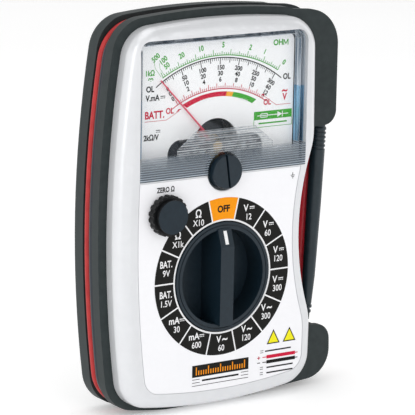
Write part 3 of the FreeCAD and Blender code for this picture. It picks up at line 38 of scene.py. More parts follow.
room = bpy.data.worlds.new("room")
bpy.context.scene.world = room
room.use_nodes = True
sky = room.node_tree
aim = sky.nodes.new("ShaderNodeTexCoord")
axes = sky.nodes.new("ShaderNodeSeparateXYZ")
sky.links.new(aim.outputs["Generated"], axes.inputs["Vector"])
ramps = []
for axis, start, end, low in (("Z", 0.25, 0.95, 0.55), ("X", 0.1, 0.9, 0.5)):
    ramp = sky.nodes.new("ShaderNodeMapRange")
    ramp.inputs["From Min"].default_value = start
    ramp.inputs["From Max"].default_value = end
    ramp.inputs["To Min"].default_value = 1.0
    ramp.inputs["To Max"].default_value = low
    sky.links.new(axes.outputs[axis], ramp.inputs["Value"])
    ramps.append(ramp.outputs["Result"])
product = sky.nodes.new("ShaderNodeMath")
product.operation = "MULTIPLY"
sky.links.new(ramps[0], product.inputs[0])
sky.links.new(ramps[1], product.inputs[1])
sky.links.new(product.outputs[0], sky.nodes["Background"].inputs["Color"])
sky.nodes["Background"].inputs["Strength"].default_value = 1.1


def lamp(name, place, aim, size, power, tint=(1, 1, 1)):
    light = bpy.data.lights.new(name, "AREA")
    light.shape = "RECTANGLE"
    light.size, light.size_y = size
    light.energy = power
    light.color = tint
    made = bpy.data.objects.new(name, light)
    made.location = place
    made.rotation_euler = (Vector(aim) - Vector(place)).to_track_quat("-Z", "Y").to_euler()
    bpy.context.scene.collection.objects.link(made)


middle = (0.0, 0.0, 0.07)
lamp("left_softbox", (-0.75, -0.35, 0.35), middle, (0.25, 0.9), 1.2)
lamp("front_softbox", (0.25, -0.95, 0.55), middle, (0.7, 0.5), 0.6)
lamp("top_softbox", (-0.05, 0.05, 0.8), middle, (0.8, 0.5), 1.2)
lamp("right_softbox", (0.7, -0.1, 0.3), middle, (0.3, 0.8), 0.6)

camera = bpy.data.cameras.new("camera")
camera.sensor_width = 36.0
camera.lens = 242.9
camera.clip_start = 0.01
eye = bpy.data.objects.new("camera", camera)
eye.location = (-0.52798, -0.78144, 0.27076)
eye.rotation_euler = Euler([math.radians(a) for a in (77.7975, -1.0457, -34.1737)], "XYZ")
bpy.context.scene.collection.objects.link(eye)
bpy.context.scene.camera = eye


def grain(material, scale, detail=4.0):
    """Noise over the piece's own place, for small changes of tone and surface."""
    tree = material.node_tree
    place = tree.nodes.new("ShaderNodeTexCoord")
    noise = tree.nodes.new("ShaderNodeTexNoise")
    noise.inputs["Scale"].default_value = scale
    noise.inputs["Detail"].default_value = detail
    tree.links.new(place.outputs["Object"], noise.inputs["Vector"])
    return noise


def tones(material, source, dark, light, low=0.35, high=0.65):
    """Ramp from one colour to the other along a 0-1 source."""
    ramp = material.node_tree.nodes.new("ShaderNodeValToRGB")
    ramp.color_ramp.elements[0].position = low
    ramp.color_ramp.elements[0].color = (*dark, 1)
    ramp.color_ramp.elements[1].position = high
    ramp.color_ramp.elements[1].color = (*light, 1)
    material.node_tree.links.new(source, ramp.inputs["Fac"])
    return ramp.outputs["Color"]


def roughen(material, source, low, high):
    spread = material.node_tree.nodes.new("ShaderNodeMapRange")
    spread.inputs["To Min"].default_value = low
    spread.inputs["To Max"].default_value = high
    material.node_tree.links.new(source, spread.inputs["Value"])
    material.node_tree.links.new(
        spread.outputs["Result"], material.node_tree.nodes["Principled BSDF"].inputs["Roughness"])


def emboss(material, source, strength, height):
    bump = material.node_tree.nodes.new("ShaderNodeBump")
    bump.inputs["Strength"].default_value = strength
    bump.inputs["Distance"].default_value = height
    material.node_tree.links.new(source, bump.inputs["Height"])
    material.node_tree.links.new(
        bump.outputs["Normal"], material.node_tree.nodes["Principled BSDF"].inputs["Normal"])


def finish(name, dark, light, rough, grain_scale, relief=0.05, height=0.00003, metal=0.0,
           coat=0.0, specular=0.5):
    """Moulded, painted or plated surface with fine grain and uneven gloss."""
    material = bpy.data.materials.new(name)
    material.use_nodes = True
    shader = material.node_tree.nodes["Principled BSDF"]
    shader.inputs["Metallic"].default_value = metal
    shader.inputs["Coat Weight"].default_value = coat
    shader.inputs["Coat Roughness"].default_value = 0.15
    shader.inputs["Specular IOR Level"].default_value = specular
    noise = grain(material, grain_scale)
    material.node_tree.links.new(
        tones(material, noise.outputs["Fac"], dark, light), shader.inputs["Base Color"])
    roughen(material, noise.outputs["Fac"], rough[0], rough[1])
    emboss(material, noise.outputs["Fac"], relief, height)
    return material


def wear(node_name, material):
    """Give a CAD piece its real finish."""
    slots = nodes[node_name].data.materials
    for number in range(max(1, len(slots))):
        if len(slots) == 0:
            slots.append(material)
        else:
            slots[number] = material


bench = bmesh.new()
bmesh.ops.create_grid(bench, x_segments=1, y_segments=1, size=3.0)
bench_mesh = bpy.data.meshes.new("bench")
bench.to_mesh(bench_mesh)
bench_top = bpy.data.objects.new("bench", bench_mesh)
bpy.context.scene.collection.objects.link(bench_top)
bench_white = finish("white_bench", (0.93, 0.93, 0.93), (0.95, 0.95, 0.95), (0.6, 0.7), 6.0,
                     specular=0.2)
bench_skin = bench_white.node_tree.nodes["Principled BSDF"]
bench_skin.inputs["Emission Color"].default_value = (1, 1, 1, 1)
bench_skin.inputs["Emission Strength"].default_value = 0.25
bench_top.data.materials.append(bench_white)

# Front housing: injection-moulded ABS in silver-white with a satin skin, one
# piece from the rounded crown to the split line. The well behind the scale
# plate carries painted shade: it is coloured blue-black for the shadow in it.
silver = finish("silver_moulding", (0.70, 0.71, 0.73), (0.72, 0.73, 0.75), (0.27, 0.30), 260.0,
                relief=0.004, height=0.00001, metal=0.3, coat=0.1)
tree = silver.node_tree
skin = tree.nodes["Principled BSDF"]
place = tree.nodes.new("ShaderNodeTexCoord")
apart = tree.nodes.new("ShaderNodeSeparateXYZ")
tree.links.new(place.outputs["Object"], apart.inputs["Vector"])


def step_up(tree, source, low, high):
    """0 below the lower value and 1 above the higher one."""
    node = tree.nodes.new("ShaderNodeMapRange")
    node.inputs["From Min"].default_value = low
    node.inputs["From Max"].default_value = high
    tree.links.new(source, node.inputs["Value"])
    return node.outputs["Result"]


def sum_of(tree, kind, first, second=None):
    """One operation on one or two values, each a socket or a number."""
    node = tree.nodes.new("ShaderNodeMath")
    node.operation = kind
    for number, value in enumerate((first, second)):
        if isinstance(value, (int, float)):
            node.inputs[number].default_value = value
        elif value is not None:
            tree.links.new(value, node.inputs[number])
    return node.outputs[0]


def below(tree, source, low, high):
    """1 below the lower value and 0 above the higher one."""
    return sum_of(tree, "SUBTRACT", 1.0, step_up(tree, source, low, high))


def blend(tree, share, first, second):
    """Mix of two colours, each a socket or three numbers."""
    node = tree.nodes.new("ShaderNodeMix")
    node.data_type = "RGBA"
    tree.links.new(share, node.inputs["Factor"])
    for socket, value in (("A", first), ("B", second)):
        if isinstance(value, tuple):
            node.inputs[socket].default_value = (*value, 1)
        else:
            tree.links.new(value, node.inputs[socket])
    return node.outputs["Result"]


# Painted shade: the well behind the scale plate, inside these bounds, is coloured blue-black for
# the shadow in it.
well_shelf = (-0.0146, -0.0144)
well_foot, well_top, well_side = (0.0830, 0.0832), (0.1293, 0.1294), (0.0340, 0.0341)
well_painted_shade = (0.010, 0.016, 0.026)
behind = sum_of(tree, "MULTIPLY", step_up(tree, apart.outputs["Y"], *well_shelf),
                step_up(tree, apart.outputs["Z"], *well_foot))
for across, (low, high) in ((sum_of(tree, "ABSOLUTE", apart.outputs["X"]), well_side),
                            (apart.outputs["Z"], well_top)):
    behind = sum_of(tree, "MULTIPLY", behind, below(tree, across, low, high))
plain = skin.inputs["Base Color"].links[0].from_socket
tree.links.new(blend(tree, behind, plain, well_painted_shade), skin.inputs["Base Color"])
wear("front_housing", silver)

# Rear housing and battery door: dark ABS mouldings with the grain of a
# spark-eroded tool. The housing is held by four case screws, the door by one.
back_moulding = finish("spark_grain", (0.022, 0.025, 0.028), (0.034, 0.037, 0.041),
                       (0.5, 0.68), 2600.0, relief=0.35, height=0.00006)
wear("rear_housing", back_moulding)
wear("battery_door", back_moulding)

# Boot: soft dark grey-green rubber, moulded in one piece and stretched over
# the body, with a faint bloom where it is handled.
boot_rubber = finish("boot_rubber", (0.017, 0.025, 0.026), (0.024, 0.033, 0.034),
                     (0.46, 0.58), 400.0, relief=0.06, height=0.00003, specular=0.3)
wear("boot", boot_rubber)

# Test leads: soft PVC, one red and one blue-black, wound side by side round
# the boot and fixed there by its groove.
wear("red_lead", finish("red_flex", (0.40, 0.020, 0.022), (0.48, 0.030, 0.030),
                        (0.30, 0.42), 300.0, relief=0.03, specular=0.3))
wear("black_lead", finish("blue_black_flex", (0.008, 0.013, 0.022), (0.012, 0.019, 0.030),
                          (0.25, 0.35), 300.0, relief=0.03))

# Probes: hard glossy handles moulded over steel tips and parked in the ears.
# The tips, the screws and the other small steel parts are zinc plated.
wear("black_probe", finish("slate_handle", (0.010, 0.021, 0.028), (0.014, 0.027, 0.035),
                           (0.32, 0.40), 500.0, relief=0.02, specular=0.4))
wear("red_probe", finish("red_handle", (0.90, 0.030, 0.050), (0.96, 0.036, 0.060),
                         (0.28, 0.36), 500.0, relief=0.02))
plated = finish("zinc_plate", (0.52, 0.53, 0.55), (0.66, 0.67, 0.69), (0.2, 0.34), 1500.0,
                metal=1.0)
for name in ("black_probe_tip", "red_probe_tip", "case_screws", "door_screw", "board_screws",
             "frame_screws", "rotor_screw", "movement_yoke", "pivot_staffs", "cell_contacts"):
    wear(name, plated)

# Selector knob, zero-ohm knob and meter zero screw: moulded blue-black nylon,
# with the gloss left by the mould. The selector's index is filled with white,
# and the thumb knob carries painted shade: near black behind its front face.
nylon = finish("blue_black_nylon", (0.005, 0.014, 0.023), (0.007, 0.018, 0.028),
               (0.36, 0.44), 700.0, relief=0.04, specular=0.36)
for name in ("selector_knob", "meter_zero_screw"):
    wear(name, nylon)
shade_painted_nylon = finish("knob_shade_nylon", (0.005, 0.014, 0.023), (0.007, 0.018, 0.028), (0.40, 0.50), 700.0,
                 relief=0.04, specular=0.3)
tree = shade_painted_nylon.node_tree
place = tree.nodes.new("ShaderNodeTexCoord")
apart = tree.nodes.new("ShaderNodeSeparateXYZ")
tree.links.new(place.outputs["Object"], apart.inputs["Vector"])
skin = tree.nodes["Principled BSDF"]
plain = skin.inputs["Base Color"].links[0].from_socket
# Painted shade: everything deeper than the thumb knob's front face is coloured near black.
front_edge, knob_painted_shade = (-0.0248, -0.0246), (0.0008, 0.0012, 0.0018)
tree.links.new(blend(tree, step_up(tree, apart.outputs["Y"], *front_edge), plain, knob_painted_shade),
               skin.inputs["Base Color"])
wear("zero_ohm_knob", shade_painted_nylon)
wear("knob_index", finish("white_filling", (0.80, 0.81, 0.82), (0.9, 0.9, 0.9),
                          (0.3, 0.4), 900.0))
wear("selector_rotor", finish("acetal_white", (0.70, 0.70, 0.66), (0.78, 0.78, 0.74),
                              (0.3, 0.4), 300.0))

# Panel label: white polyester film laid into the panel, printed with black,
# orange, red and yellow ink.
wear("panel_label", finish("label_film", (0.88, 0.88, 0.905), (0.89, 0.89, 0.915),
                           (0.34, 0.38), 600.0, relief=0.005, specular=0.3))
UP = 0.0465    # height of the selector's axis, where the printing starts from, in metres
BACK = 0.020   # distance of the label's face from the frame's origin, in metres
MM = 0.001
proud = 0.05               # ink stands this far in front of its sheet, in millimetres
plate_depth = 5.5          # the scale plate lies this far behind the label's face
label_face = -proud
plate_face = plate_depth - proud
overprint = 0.02           # a second ink lies this far in front of the first


def ink(name, colour):
    made = finish(name, [c * 0.93 for c in colour], colour, (0.5, 0.6), 1200.0,
                  relief=0.02, specular=0.12)
    return {"name": name, "mesh": bmesh.new(), "finish": made}


black_ink = ink("panel_black_print", (0.010, 0.010, 0.009))
white_ink = ink("panel_white_print", (0.87, 0.87, 0.88))
orange_ink = ink("panel_orange_print", (0.93, 0.32, 0.005))
red_ink = ink("panel_red_print", (0.62, 0.012, 0.05))
yellow_ink = ink("panel_yellow_print", (0.90, 0.83, 0.02))


def onto(x, y, depth):
    """Point on the meter, from millimetres across, up and deep."""
    return Vector((x * MM, depth * MM - BACK, y * MM + UP))


def patch(layer, corners, depth):
    """Flat printed patch through corners given across and up."""
    mesh = layer["mesh"]
    face = mesh.faces.new([mesh.verts.new(onto(x, y, depth)) for x, y in corners])
    face.normal_update()
    if face.normal.y > 0:
        face.normal_flip()


def stroke(layer, points, width, depth):
    """Printed line of even width through points across and up."""
    half = width / 2
    for (x0, y0), (x1, y1) in zip(points, points[1:]):
        run = math.hypot(x1 - x0, y1 - y0)
        nx, ny = -(y1 - y0) / run * half, (x1 - x0) / run * half
        patch(layer, [(x0 + nx, y0 + ny), (x0 - nx, y0 - ny), (x1 - nx, y1 - ny),
                      (x1 + nx, y1 + ny)], depth)


def polar(centre, radius, angle):
    """Point at an angle clockwise from straight up."""
    turn = math.radians(angle)
    return centre[0] + radius * math.sin(turn), centre[1] + radius * math.cos(turn)


def band(layer, centre, inner, outer, start, end, depth, inner_centre=None, steps=48):
    """Printed sector between two arcs."""
    inner_centre = inner_centre or centre
    for number in range(steps):
        a = start + (end - start) * number / steps
        b = start + (end - start) * (number + 1) / steps
        patch(layer, [polar(inner_centre, inner, a), polar(centre, outer, a),
                      polar(centre, outer, b), polar(inner_centre, inner, b)], depth)


def letters(layer, words, x, y, high, depth, turn=0.0, squeeze=0.86, bold=0.045):
    """Words centred on a point, with capitals of the given height."""
    curve = bpy.data.curves.new("letters", "FONT")
    curve.body = words
    curve.size = high / 0.72
    curve.align_x = "CENTER"
    curve.align_y = "CENTER"
    curve.offset = bold * high
    curve.resolution_u = 3
    made = bpy.data.objects.new("letters", curve)
    bpy.context.scene.collection.objects.link(made)
    bpy.context.view_layer.update()
    drawn = made.evaluated_get(bpy.context.evaluated_depsgraph_get())
    shape = bpy.data.meshes.new_from_object(drawn)
    lift = Matrix.Translation(onto(x, y, depth)) @ Matrix.Rotation(math.radians(90), 4, "X")
    lift = lift @ Matrix.Rotation(math.radians(-turn), 4, "Z")
    lift = lift @ Matrix.Diagonal((squeeze * MM, MM, MM, 1))
    shape.transform(lift)
    layer["mesh"].from_mesh(shape)
    bpy.data.objects.remove(made)
    bpy.data.curves.remove(curve)
    bpy.data.meshes.remove(shape)


def direct(layer, x, y, wide, thick, depth):
    """The direct-current mark: a bar over three dashes."""
    stroke(layer, [(x - wide / 2, y + 0.3), (x + wide / 2, y + 0.3)], thick, depth)
    for step in (-1, 0, 1):
        centre = x + step * wide * 0.36
        stroke(layer, [(centre - wide * 0.12, y - 0.3), (centre + wide * 0.12, y - 0.3)],
               thick, depth)


def printed(layer, body="meter"):
    """Turn an ink's mesh into a piece on the meter."""
    bmesh.ops.recalc_face_normals(layer["mesh"], faces=layer["mesh"].faces)
    for face in layer["mesh"].faces:
        face.normal_update()
        if face.normal.y > 0:
            face.normal_flip()
    mesh = bpy.data.meshes.new(layer["name"])
    layer["mesh"].to_mesh(mesh)
    mesh.materials.append(layer["finish"])
    made = bpy.data.objects.new(layer["name"], mesh)
    bpy.context.scene.collection.objects.link(made)
    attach(made, body)


# Selector ring, printed on the label: fourteen ranges round the knob, white on
# black, with the off position in orange.
ring_inner, ring_outer, words_reach, step = 20.0, 27.5, 23.6, 360 / 14
selector = (0.0, 0.0)
positions = [
    ("OFF", None, None), ("V", "12", "dc"), ("V", "60", "dc"), ("V", "120", "dc"),
    ("V", "300", "dc"), ("V", "300", "ac"), ("V", "120", "ac"), ("V", "60", "ac"),
    ("mA", "600", "dc"), ("mA", "30", "dc"), ("BAT.", "1.5V", None), ("BAT.", "9V", None),
    ("Ω", "X1k", None), ("Ω", "X10", None),
]
for number, (upper, lower, current) in enumerate(positions):
    angle = number * step
    layer = orange_ink if number == 0 else black_ink
    band(layer, selector, ring_inner, ring_outer, angle - step / 2, angle + step / 2,
         label_face, steps=12)
    edge = angle + step / 2
    stroke(white_ink, [polar(selector, ring_inner, edge), polar(selector, ring_outer + 0.02, edge)],
           0.5, label_face - overprint)
    x, y = polar(selector, words_reach, angle)
    face = label_face - overprint
    if number == 0:
        letters(black_ink, upper, x, y - 0.1, 2.3, face, squeeze=0.9, bold=0.06)
        continue
    shift = -1.0 if current else 0.0
    high = 2.7 if upper == "Ω" else 2.4
    letters(white_ink, upper, x + shift, y + 1.5, high, face,
            squeeze=0.74 if upper == "BAT." else 0.9, bold=0.03)
    letters(white_ink, lower, x + 0.1, y - 1.6, 2.2, face, squeeze=0.86, bold=0.016)
    across = x + (1.55 if upper == "V" else 2.2)
    if current == "dc":
        direct(white_ink, across, y + 1.6, 2.0, 0.3, face)
    elif current == "ac":
        letters(white_ink, "~", across, y + 1.5, 2.6, face, squeeze=1.0)
band(white_ink, selector, 19.42, ring_inner, 0, 360, label_face - 0.01, steps=96)

# Words and marks round the panel, in black, with the lead marks in red and
# black and two plain yellow triangles.
letters(black_ink, "ZERO Ω", -23.6, 32.5, 1.75, label_face, squeeze=0.8)
stroke(black_ink, [(28.6, 33.4), (28.6, 32.4)], 0.26, label_face)
for row, wide in ((0, 1.7), (0.5, 1.1), (1.0, 0.5)):
    stroke(black_ink, [(28.6 - wide / 2, 32.4 - row), (28.6 + wide / 2, 32.4 - row)],
           0.22, label_face)
for across in (22.0, 28.8):
    patch(black_ink, [(across - 2.75, -26.5), (across + 2.75, -26.5), (across, -21.4)],
          label_face)
    patch(yellow_ink, [(across - 2.1, -26.1), (across + 2.1, -26.1), (across, -22.2)],
          label_face - overprint)
for layer, row in ((red_ink, -31.0), (black_ink, -32.8)):
    for x0, x1, thick in ((19.3, 31.5, 1.2), (17.6, 19.3, 0.3), (31.5, 32.6, 0.3),
                          (15.4, 16.6, 0.3)):
        stroke(layer, [(x0, row), (x1, row)], thick, label_face)
stroke(red_ink, [(16.0, -30.4), (16.0, -31.6)], 0.3, label_face)
for row, x0, x1 in ((-28.9, 18.6, 29.6), (-34.8, 19.4, 30.6), (-36.7, 19.4, 30.6)):
    stroke(black_ink, [(x0, row), (x1, row)], 0.5, label_face)
    for offset in (0.35, -0.35):
        stroke(black_ink, [(16.6, row + offset), (17.9, row + offset)], 0.2, label_face)

# Badge, printed on the label: a black bar with a row of orange divisions like
# the ones on a gauge, and thin rules under it.
badge_half = 11.7
patch(black_ink, [(-badge_half, -34.2), (-badge_half, -30.0), (badge_half, -30.0),
                  (badge_half, -34.2)], label_face)
for number in range(21):
    across = -10.0 + number
    high = 2.8 if number % 5 == 0 else 1.6
    stroke(orange_ink, [(across, -33.5), (across, -33.5 + high)], 0.42, label_face - overprint)
for row, reach in ((-35.0, 8.6), (-36.1, 8.6), (-37.2, 0.0)):
    for side in (-1, 1):
        stroke(black_ink, [(side * badge_half, row), (side * reach, row)], 0.2, label_face)
stroke(black_ink, [(-7.6, -35.6), (7.6, -35.6)], 0.6, label_face)
for layer in (black_ink, white_ink, orange_ink, red_ink, yellow_ink):
    printed(layer)

# Scale plate: aluminium sheet sprayed white and screen printed, with ohms in
# green, direct volts and milliamps in black, alternating volts in red and a
# battery band in three colours. Its two screws are painted over.
plate_white = finish("scale_white", (0.90, 0.91, 0.92), (0.93, 0.94, 0.95), (0.4, 0.5), 700.0,
                     relief=0.01)
wear("scale_plate", plate_white)
wear("plate_screws", plate_white)
scale_black = ink("scale_black_print", (0.012, 0.012, 0.012))
scale_green = ink("scale_green_print", (0.055, 0.40, 0.035))
scale_red = ink("scale_red_print", (0.60, 0.008, 0.045))
scale_orange = ink("scale_orange_print", (0.90, 0.42, 0.04))
scale_white = ink("scale_white_print", (0.86, 0.87, 0.88))
volts_centre, volts_reach = (0.6, 31.9), 42.6
ohms_centre, ohms_reach = (0.9, 28.8), 46.5
mains_centre, mains_reach = (1.0, 27.75), 36.1
volts_start, volts_end = -31.7, 33.4


def scale_arc(layer, centre, reach, start, end, width):
    band(layer, centre, reach - width / 2, reach + width / 2, start, end, plate_face, steps=64)


def tick(layer, centre, reach, angle, length, width):
    stroke(layer, [polar(centre, reach, angle), polar(centre, reach + length, angle)],
           width, plate_face)


scale_arc(scale_black, volts_centre, volts_reach, volts_start - 4.4, volts_end + 4.4, 0.34)
for number in range(61):
    angle = volts_start + (volts_end - volts_start) * number / 60
    length = 2.3 if number % 10 == 0 else 1.7 if number % 5 == 0 else 1.0
    width = 0.3 if number % 5 == 0 else 0.2
    tick(scale_black, volts_centre, volts_reach, angle, -length, width)
rows = ((39.2, ("0", "50", "100", "150", "200", "250", "300")),
        (37.2, ("0", "10", "20", "30", "40", "50", "60")),
        (35.1, ("0", "2", "4", "6", "8", "10", "12")))
for reach, numbers in rows:
    for number, words in enumerate(numbers):
        angle = volts_start + 0.4 + (volts_end - volts_start) * number / 6
        x, y = polar(volts_centre, reach, angle)
        letters(scale_black, words, x, y, 1.55, plate_face, turn=angle, squeeze=0.96)
scale_arc(scale_green, ohms_centre, ohms_reach, -29.4, 31.6, 0.3)
for number in range(57):
    share = number / 56
    angle = -29.0 + 60.4 * share
    length = 2.0 if number % 8 == 0 else 1.4 if number % 4 == 0 else 0.9
    tick(scale_green, ohms_centre, ohms_reach, angle, length, 0.24)
ohms_words = (("500", -24.7, 76.3, -38), ("100", -21.7, 75.2, -38), ("50", -20.3, 73.3, -36),
              ("20", -14.4, 76.3, -24), ("10", -6.7, 78.0, -12), ("5", 2.4, 78.7, 3),
              ("2", 13.6, 77.0, 18), ("1", 19.6, 75.1, 28), ("0", 27.7, 70.9, 36),
              ("1kΩ", -27.0, 71.2, 0), ("∞", -26.6, 69.1, 0))
for words, x, y, turn in ohms_words:
    letters(scale_green, words, x, y, 1.85, plate_face, turn=turn, squeeze=0.86, bold=0.04)
letters(scale_green, "OH", 25.1, 77.9, 2.0, plate_face, squeeze=0.95)
stroke(scale_green, [(27.4, 76.9), (27.4, 78.9), (28.3, 77.3), (29.2, 78.9), (29.2, 76.9)],
       0.34, plate_face)
stroke(scale_green, [(-25.4, 75.0), (-24.9, 72.8), (-22.4, 69.6)], 0.12, plate_face)
stroke(scale_green, [(-23.3, 74.4), (-23.0, 72.6), (-21.4, 70.4)], 0.12, plate_face)
letters(scale_black, "OL", -26.8, 65.8, 2.0, plate_face, squeeze=0.85)
letters(scale_black, "OL", 29.0, 65.9, 2.0, plate_face, squeeze=0.85)
letters(scale_black, "V.mA", -25.8, 62.8, 2.0, plate_face, squeeze=0.85)
direct(scale_black, -21.7, 62.9, 1.9, 0.28, plate_face)
scale_arc(scale_red, mains_centre, mains_reach, -32.0, 33.0, 0.28)
for number in range(45):
    angle = -27.6 + 57.4 * number / 44
    length = 1.9 if number % 4 == 0 else 1.0
    tick(scale_red, mains_centre, mains_reach, angle, length, 0.24)
letters(scale_red, "OL", -18.9, 57.9, 2.0, plate_face, squeeze=0.85)
letters(scale_red, "OL", 21.0, 57.6, 2.0, plate_face, squeeze=0.85)
letters(scale_red, "BATT.", -24.9, 57.0, 2.5, plate_face, squeeze=0.85)
stroke(scale_red, [(-28.8, 55.0), (-20.2, 55.0), (-15.0, 57.7)], 0.15, plate_face)
patch(scale_red, [(-15.3, 58.3), (-14.0, 58.3), (-16.4, 57.2)], plate_face)
letters(scale_red, "V", 28.3, 58.9, 2.3, plate_face, squeeze=0.85)
letters(scale_red, "~", 28.3, 61.2, 2.8, plate_face, squeeze=1.0)
stroke(scale_red, [(30.9, 56.4), (24.8, 56.4), (19.0, 60.3)], 0.15, plate_face)
patch(scale_red, [(18.6, 60.7), (20.0, 60.6), (19.2, 59.6)], plate_face)
band_centre, band_under, band_inner, band_outer = (0.7, 29.6), (0.7, 31.8), 29.5, 33.3
for layer, start, end, steps in ((scale_red, -25.6, 6.0, 48), (scale_orange, 6.0, 10.8, 8),
                                 (scale_green, 10.8, 28.2, 48)):
    band(layer, band_centre, band_inner, band_outer, start, end, plate_face,
         inner_centre=band_under, steps=steps)
plate_over = plate_face - overprint
for angle in (-13.0, -11.0, -9.0, -7.0, 18.0, 20.0, 22.0):
    stroke(scale_white, [polar(band_centre, 31.0, angle), polar(band_centre, 31.9, angle)],
           0.35, plate_over)
patch(scale_green, [(15.6, 51.7), (15.6, 54.6), (31.5, 54.6), (31.5, 51.7)], plate_face)
stroke(scale_white, [(17.0, 53.1), (18.4, 53.1)], 0.28, plate_over)
stroke(scale_white, [(18.4, 53.7), (21.2, 53.7), (21.2, 52.5), (18.4, 52.5), (18.4, 53.7)],
       0.26, plate_over)
stroke(scale_white, [(18.4, 53.1), (25.4, 53.1)], 0.28, plate_over)
patch(scale_white, [(25.4, 54.1), (25.4, 52.1), (27.4, 53.1)], plate_over)
stroke(scale_white, [(27.5, 54.1), (27.5, 52.1)], 0.32, plate_over)
stroke(scale_white, [(27.5, 53.1), (30.0, 53.1)], 0.28, plate_over)
for x0, y0, x1, y1 in ((15.6, 51.8, 15.6, 49.1), (15.5, 49.1, 31.6, 49.1),
                       (31.5, 49.1, 31.5, 51.8)):
    stroke(scale_green, [(x0, y0), (x1, y1)], 0.18, plate_face)
stroke(scale_green, [(17.6, 50.4), (29.5, 50.4)], 0.5, plate_face)
letters(scale_black, "2kΩ/V", -26.2, 49.4, 1.9, plate_face, squeeze=0.85)
direct(scale_black, -23.4, 51.5, 1.8, 0.26, plate_face)
for layer in (scale_black, scale_green, scale_red, scale_orange, scale_white):
    printed(layer)

# Window: clear moulded polystyrene set in the bezel, polished outside. Its walls,
# its ribbed foot and the ribbed hood over the pivot carry blue-grey painted
# reflections and highlights where the light runs along the plastic, and the boss round the zero
# screw is dark.
clear = bpy.data.materials.new("clear_moulding")
clear.use_nodes = True
tree = clear.node_tree
glass = tree.nodes["Principled BSDF"]
glass.inputs["IOR"].default_value = 1.5
place = tree.nodes.new("ShaderNodeTexCoord")
apart = tree.nodes.new("ShaderNodeSeparateXYZ")
tree.links.new(place.outputs["Object"], apart.inputs["Vector"])
across, deep, up = (apart.outputs[axis] for axis in "XYZ")

# Where each part of the window lies, in metres; the pairs are soft edges.
inside_front, before_face = (-0.0186, -0.0180), (-0.02024, -0.02020)
side_wall, top_wall = (0.0320, 0.0323), (0.1274, 0.1277)
foot_top, tint_change = (0.0898, 0.0901), (0.1092, 0.1096)
screw_centre, boss_edge = (0.0, 0.0, 0.0831), (0.0066, 0.0068)
wall = step_up(tree, sum_of(tree, "ABSOLUTE", across), *side_wall)
roof = step_up(tree, up, *top_wall)
edges = sum_of(tree, "MULTIPLY", sum_of(tree, "MAXIMUM", wall, roof),
               step_up(tree, deep, *inside_front))
foot = below(tree, up, *foot_top)
in_front = below(tree, deep, *before_face)
hood = sum_of(tree, "MULTIPLY", step_up(tree, up, *foot_top), in_front)
flat = tree.nodes.new("ShaderNodeCombineXYZ")
tree.links.new(across, flat.inputs["X"])
tree.links.new(up, flat.inputs["Z"])
from_screw = tree.nodes.new("ShaderNodeVectorMath")
from_screw.operation = "DISTANCE"
from_screw.inputs[1].default_value = screw_centre
tree.links.new(flat.outputs["Vector"], from_screw.inputs[0])
boss = below(tree, from_screw.outputs["Value"], *boss_edge)

# Colours: painted reflections as streaks along the walls, bluer in their lower half, and painted
# light and shade in bands on the ribs.
stretch = tree.nodes.new("ShaderNodeMapping")
stretch.inputs["Scale"].default_value = (300.0, 1400.0, 40.0)
tree.links.new(place.outputs["Object"], stretch.inputs["Vector"])
reflection_streaks = tree.nodes.new("ShaderNodeTexNoise")
reflection_streaks.inputs["Scale"].default_value = 1.0
reflection_streaks.inputs["Detail"].default_value = 6.0
tree.links.new(stretch.outputs["Vector"], reflection_streaks.inputs["Vector"])
# Painted reflections: blue-grey streaks on the walls for the light running along the clear plastic.
upper_wall_reflection = tones(clear, reflection_streaks.outputs["Fac"], (0.10, 0.15, 0.21), (0.60, 0.66, 0.72),
                   0.38, 0.60)
lower_wall_reflection = tones(clear, reflection_streaks.outputs["Fac"], (0.03, 0.09, 0.16), (0.22, 0.46, 0.68),
                   0.40, 0.58)
wall_painted_reflection = blend(tree, step_up(tree, up, *tint_change), lower_wall_reflection, upper_wall_reflection)


def bands_up(scale):
    """Level bands that repeat up the window."""
    wave = tree.nodes.new("ShaderNodeTexWave")
    wave.bands_direction = "Z"
    wave.inputs["Scale"].default_value = scale
    tree.links.new(place.outputs["Object"], wave.inputs["Vector"])
    return wave


ribs = bands_up(392.7)
ribs.inputs["Distortion"].default_value = 0.15
ribs.inputs["Detail"].default_value = 1.0
# Painted highlights and shade: light and dark bands on the ribbed foot and the hood, for light
# caught in the ribs.
rib_painted_light_and_shade = tones(clear, ribs.outputs["Color"], (0.05, 0.08, 0.11), (0.58, 0.64, 0.70), 0.15, 0.9)
hood_painted_highlights = tones(clear, ribs.outputs["Color"], (0.22, 0.26, 0.30), (0.88, 0.90, 0.91), 0.2, 0.9)
pane_tone, boss_tone = (0.55, 0.60, 0.66), (0.012, 0.022, 0.030)
tone = blend(tree, in_front, blend(tree, edges, pane_tone, wall_painted_reflection), hood_painted_highlights)
tone = blend(tree, boss, blend(tree, foot, tone, rib_painted_light_and_shade), boss_tone)
tree.links.new(tone, glass.inputs["Base Color"])

# How much each part hides what is behind it: the foot more towards its lower edge.
rise = tree.nodes.new("ShaderNodeMapRange")
for socket, value in (("From Min", 0.0825), ("From Max", 0.0898), ("To Min", 0.80),
                      ("To Max", 0.34)):
    rise.inputs[socket].default_value = value
tree.links.new(up, rise.inputs["Value"])
see = sum_of(tree, "MAXIMUM", sum_of(tree, "MULTIPLY", edges, 0.9),
             sum_of(tree, "MULTIPLY", foot, rise.outputs["Result"]))
see = sum_of(tree, "MAXIMUM", see, sum_of(tree, "MULTIPLY", boss, in_front))
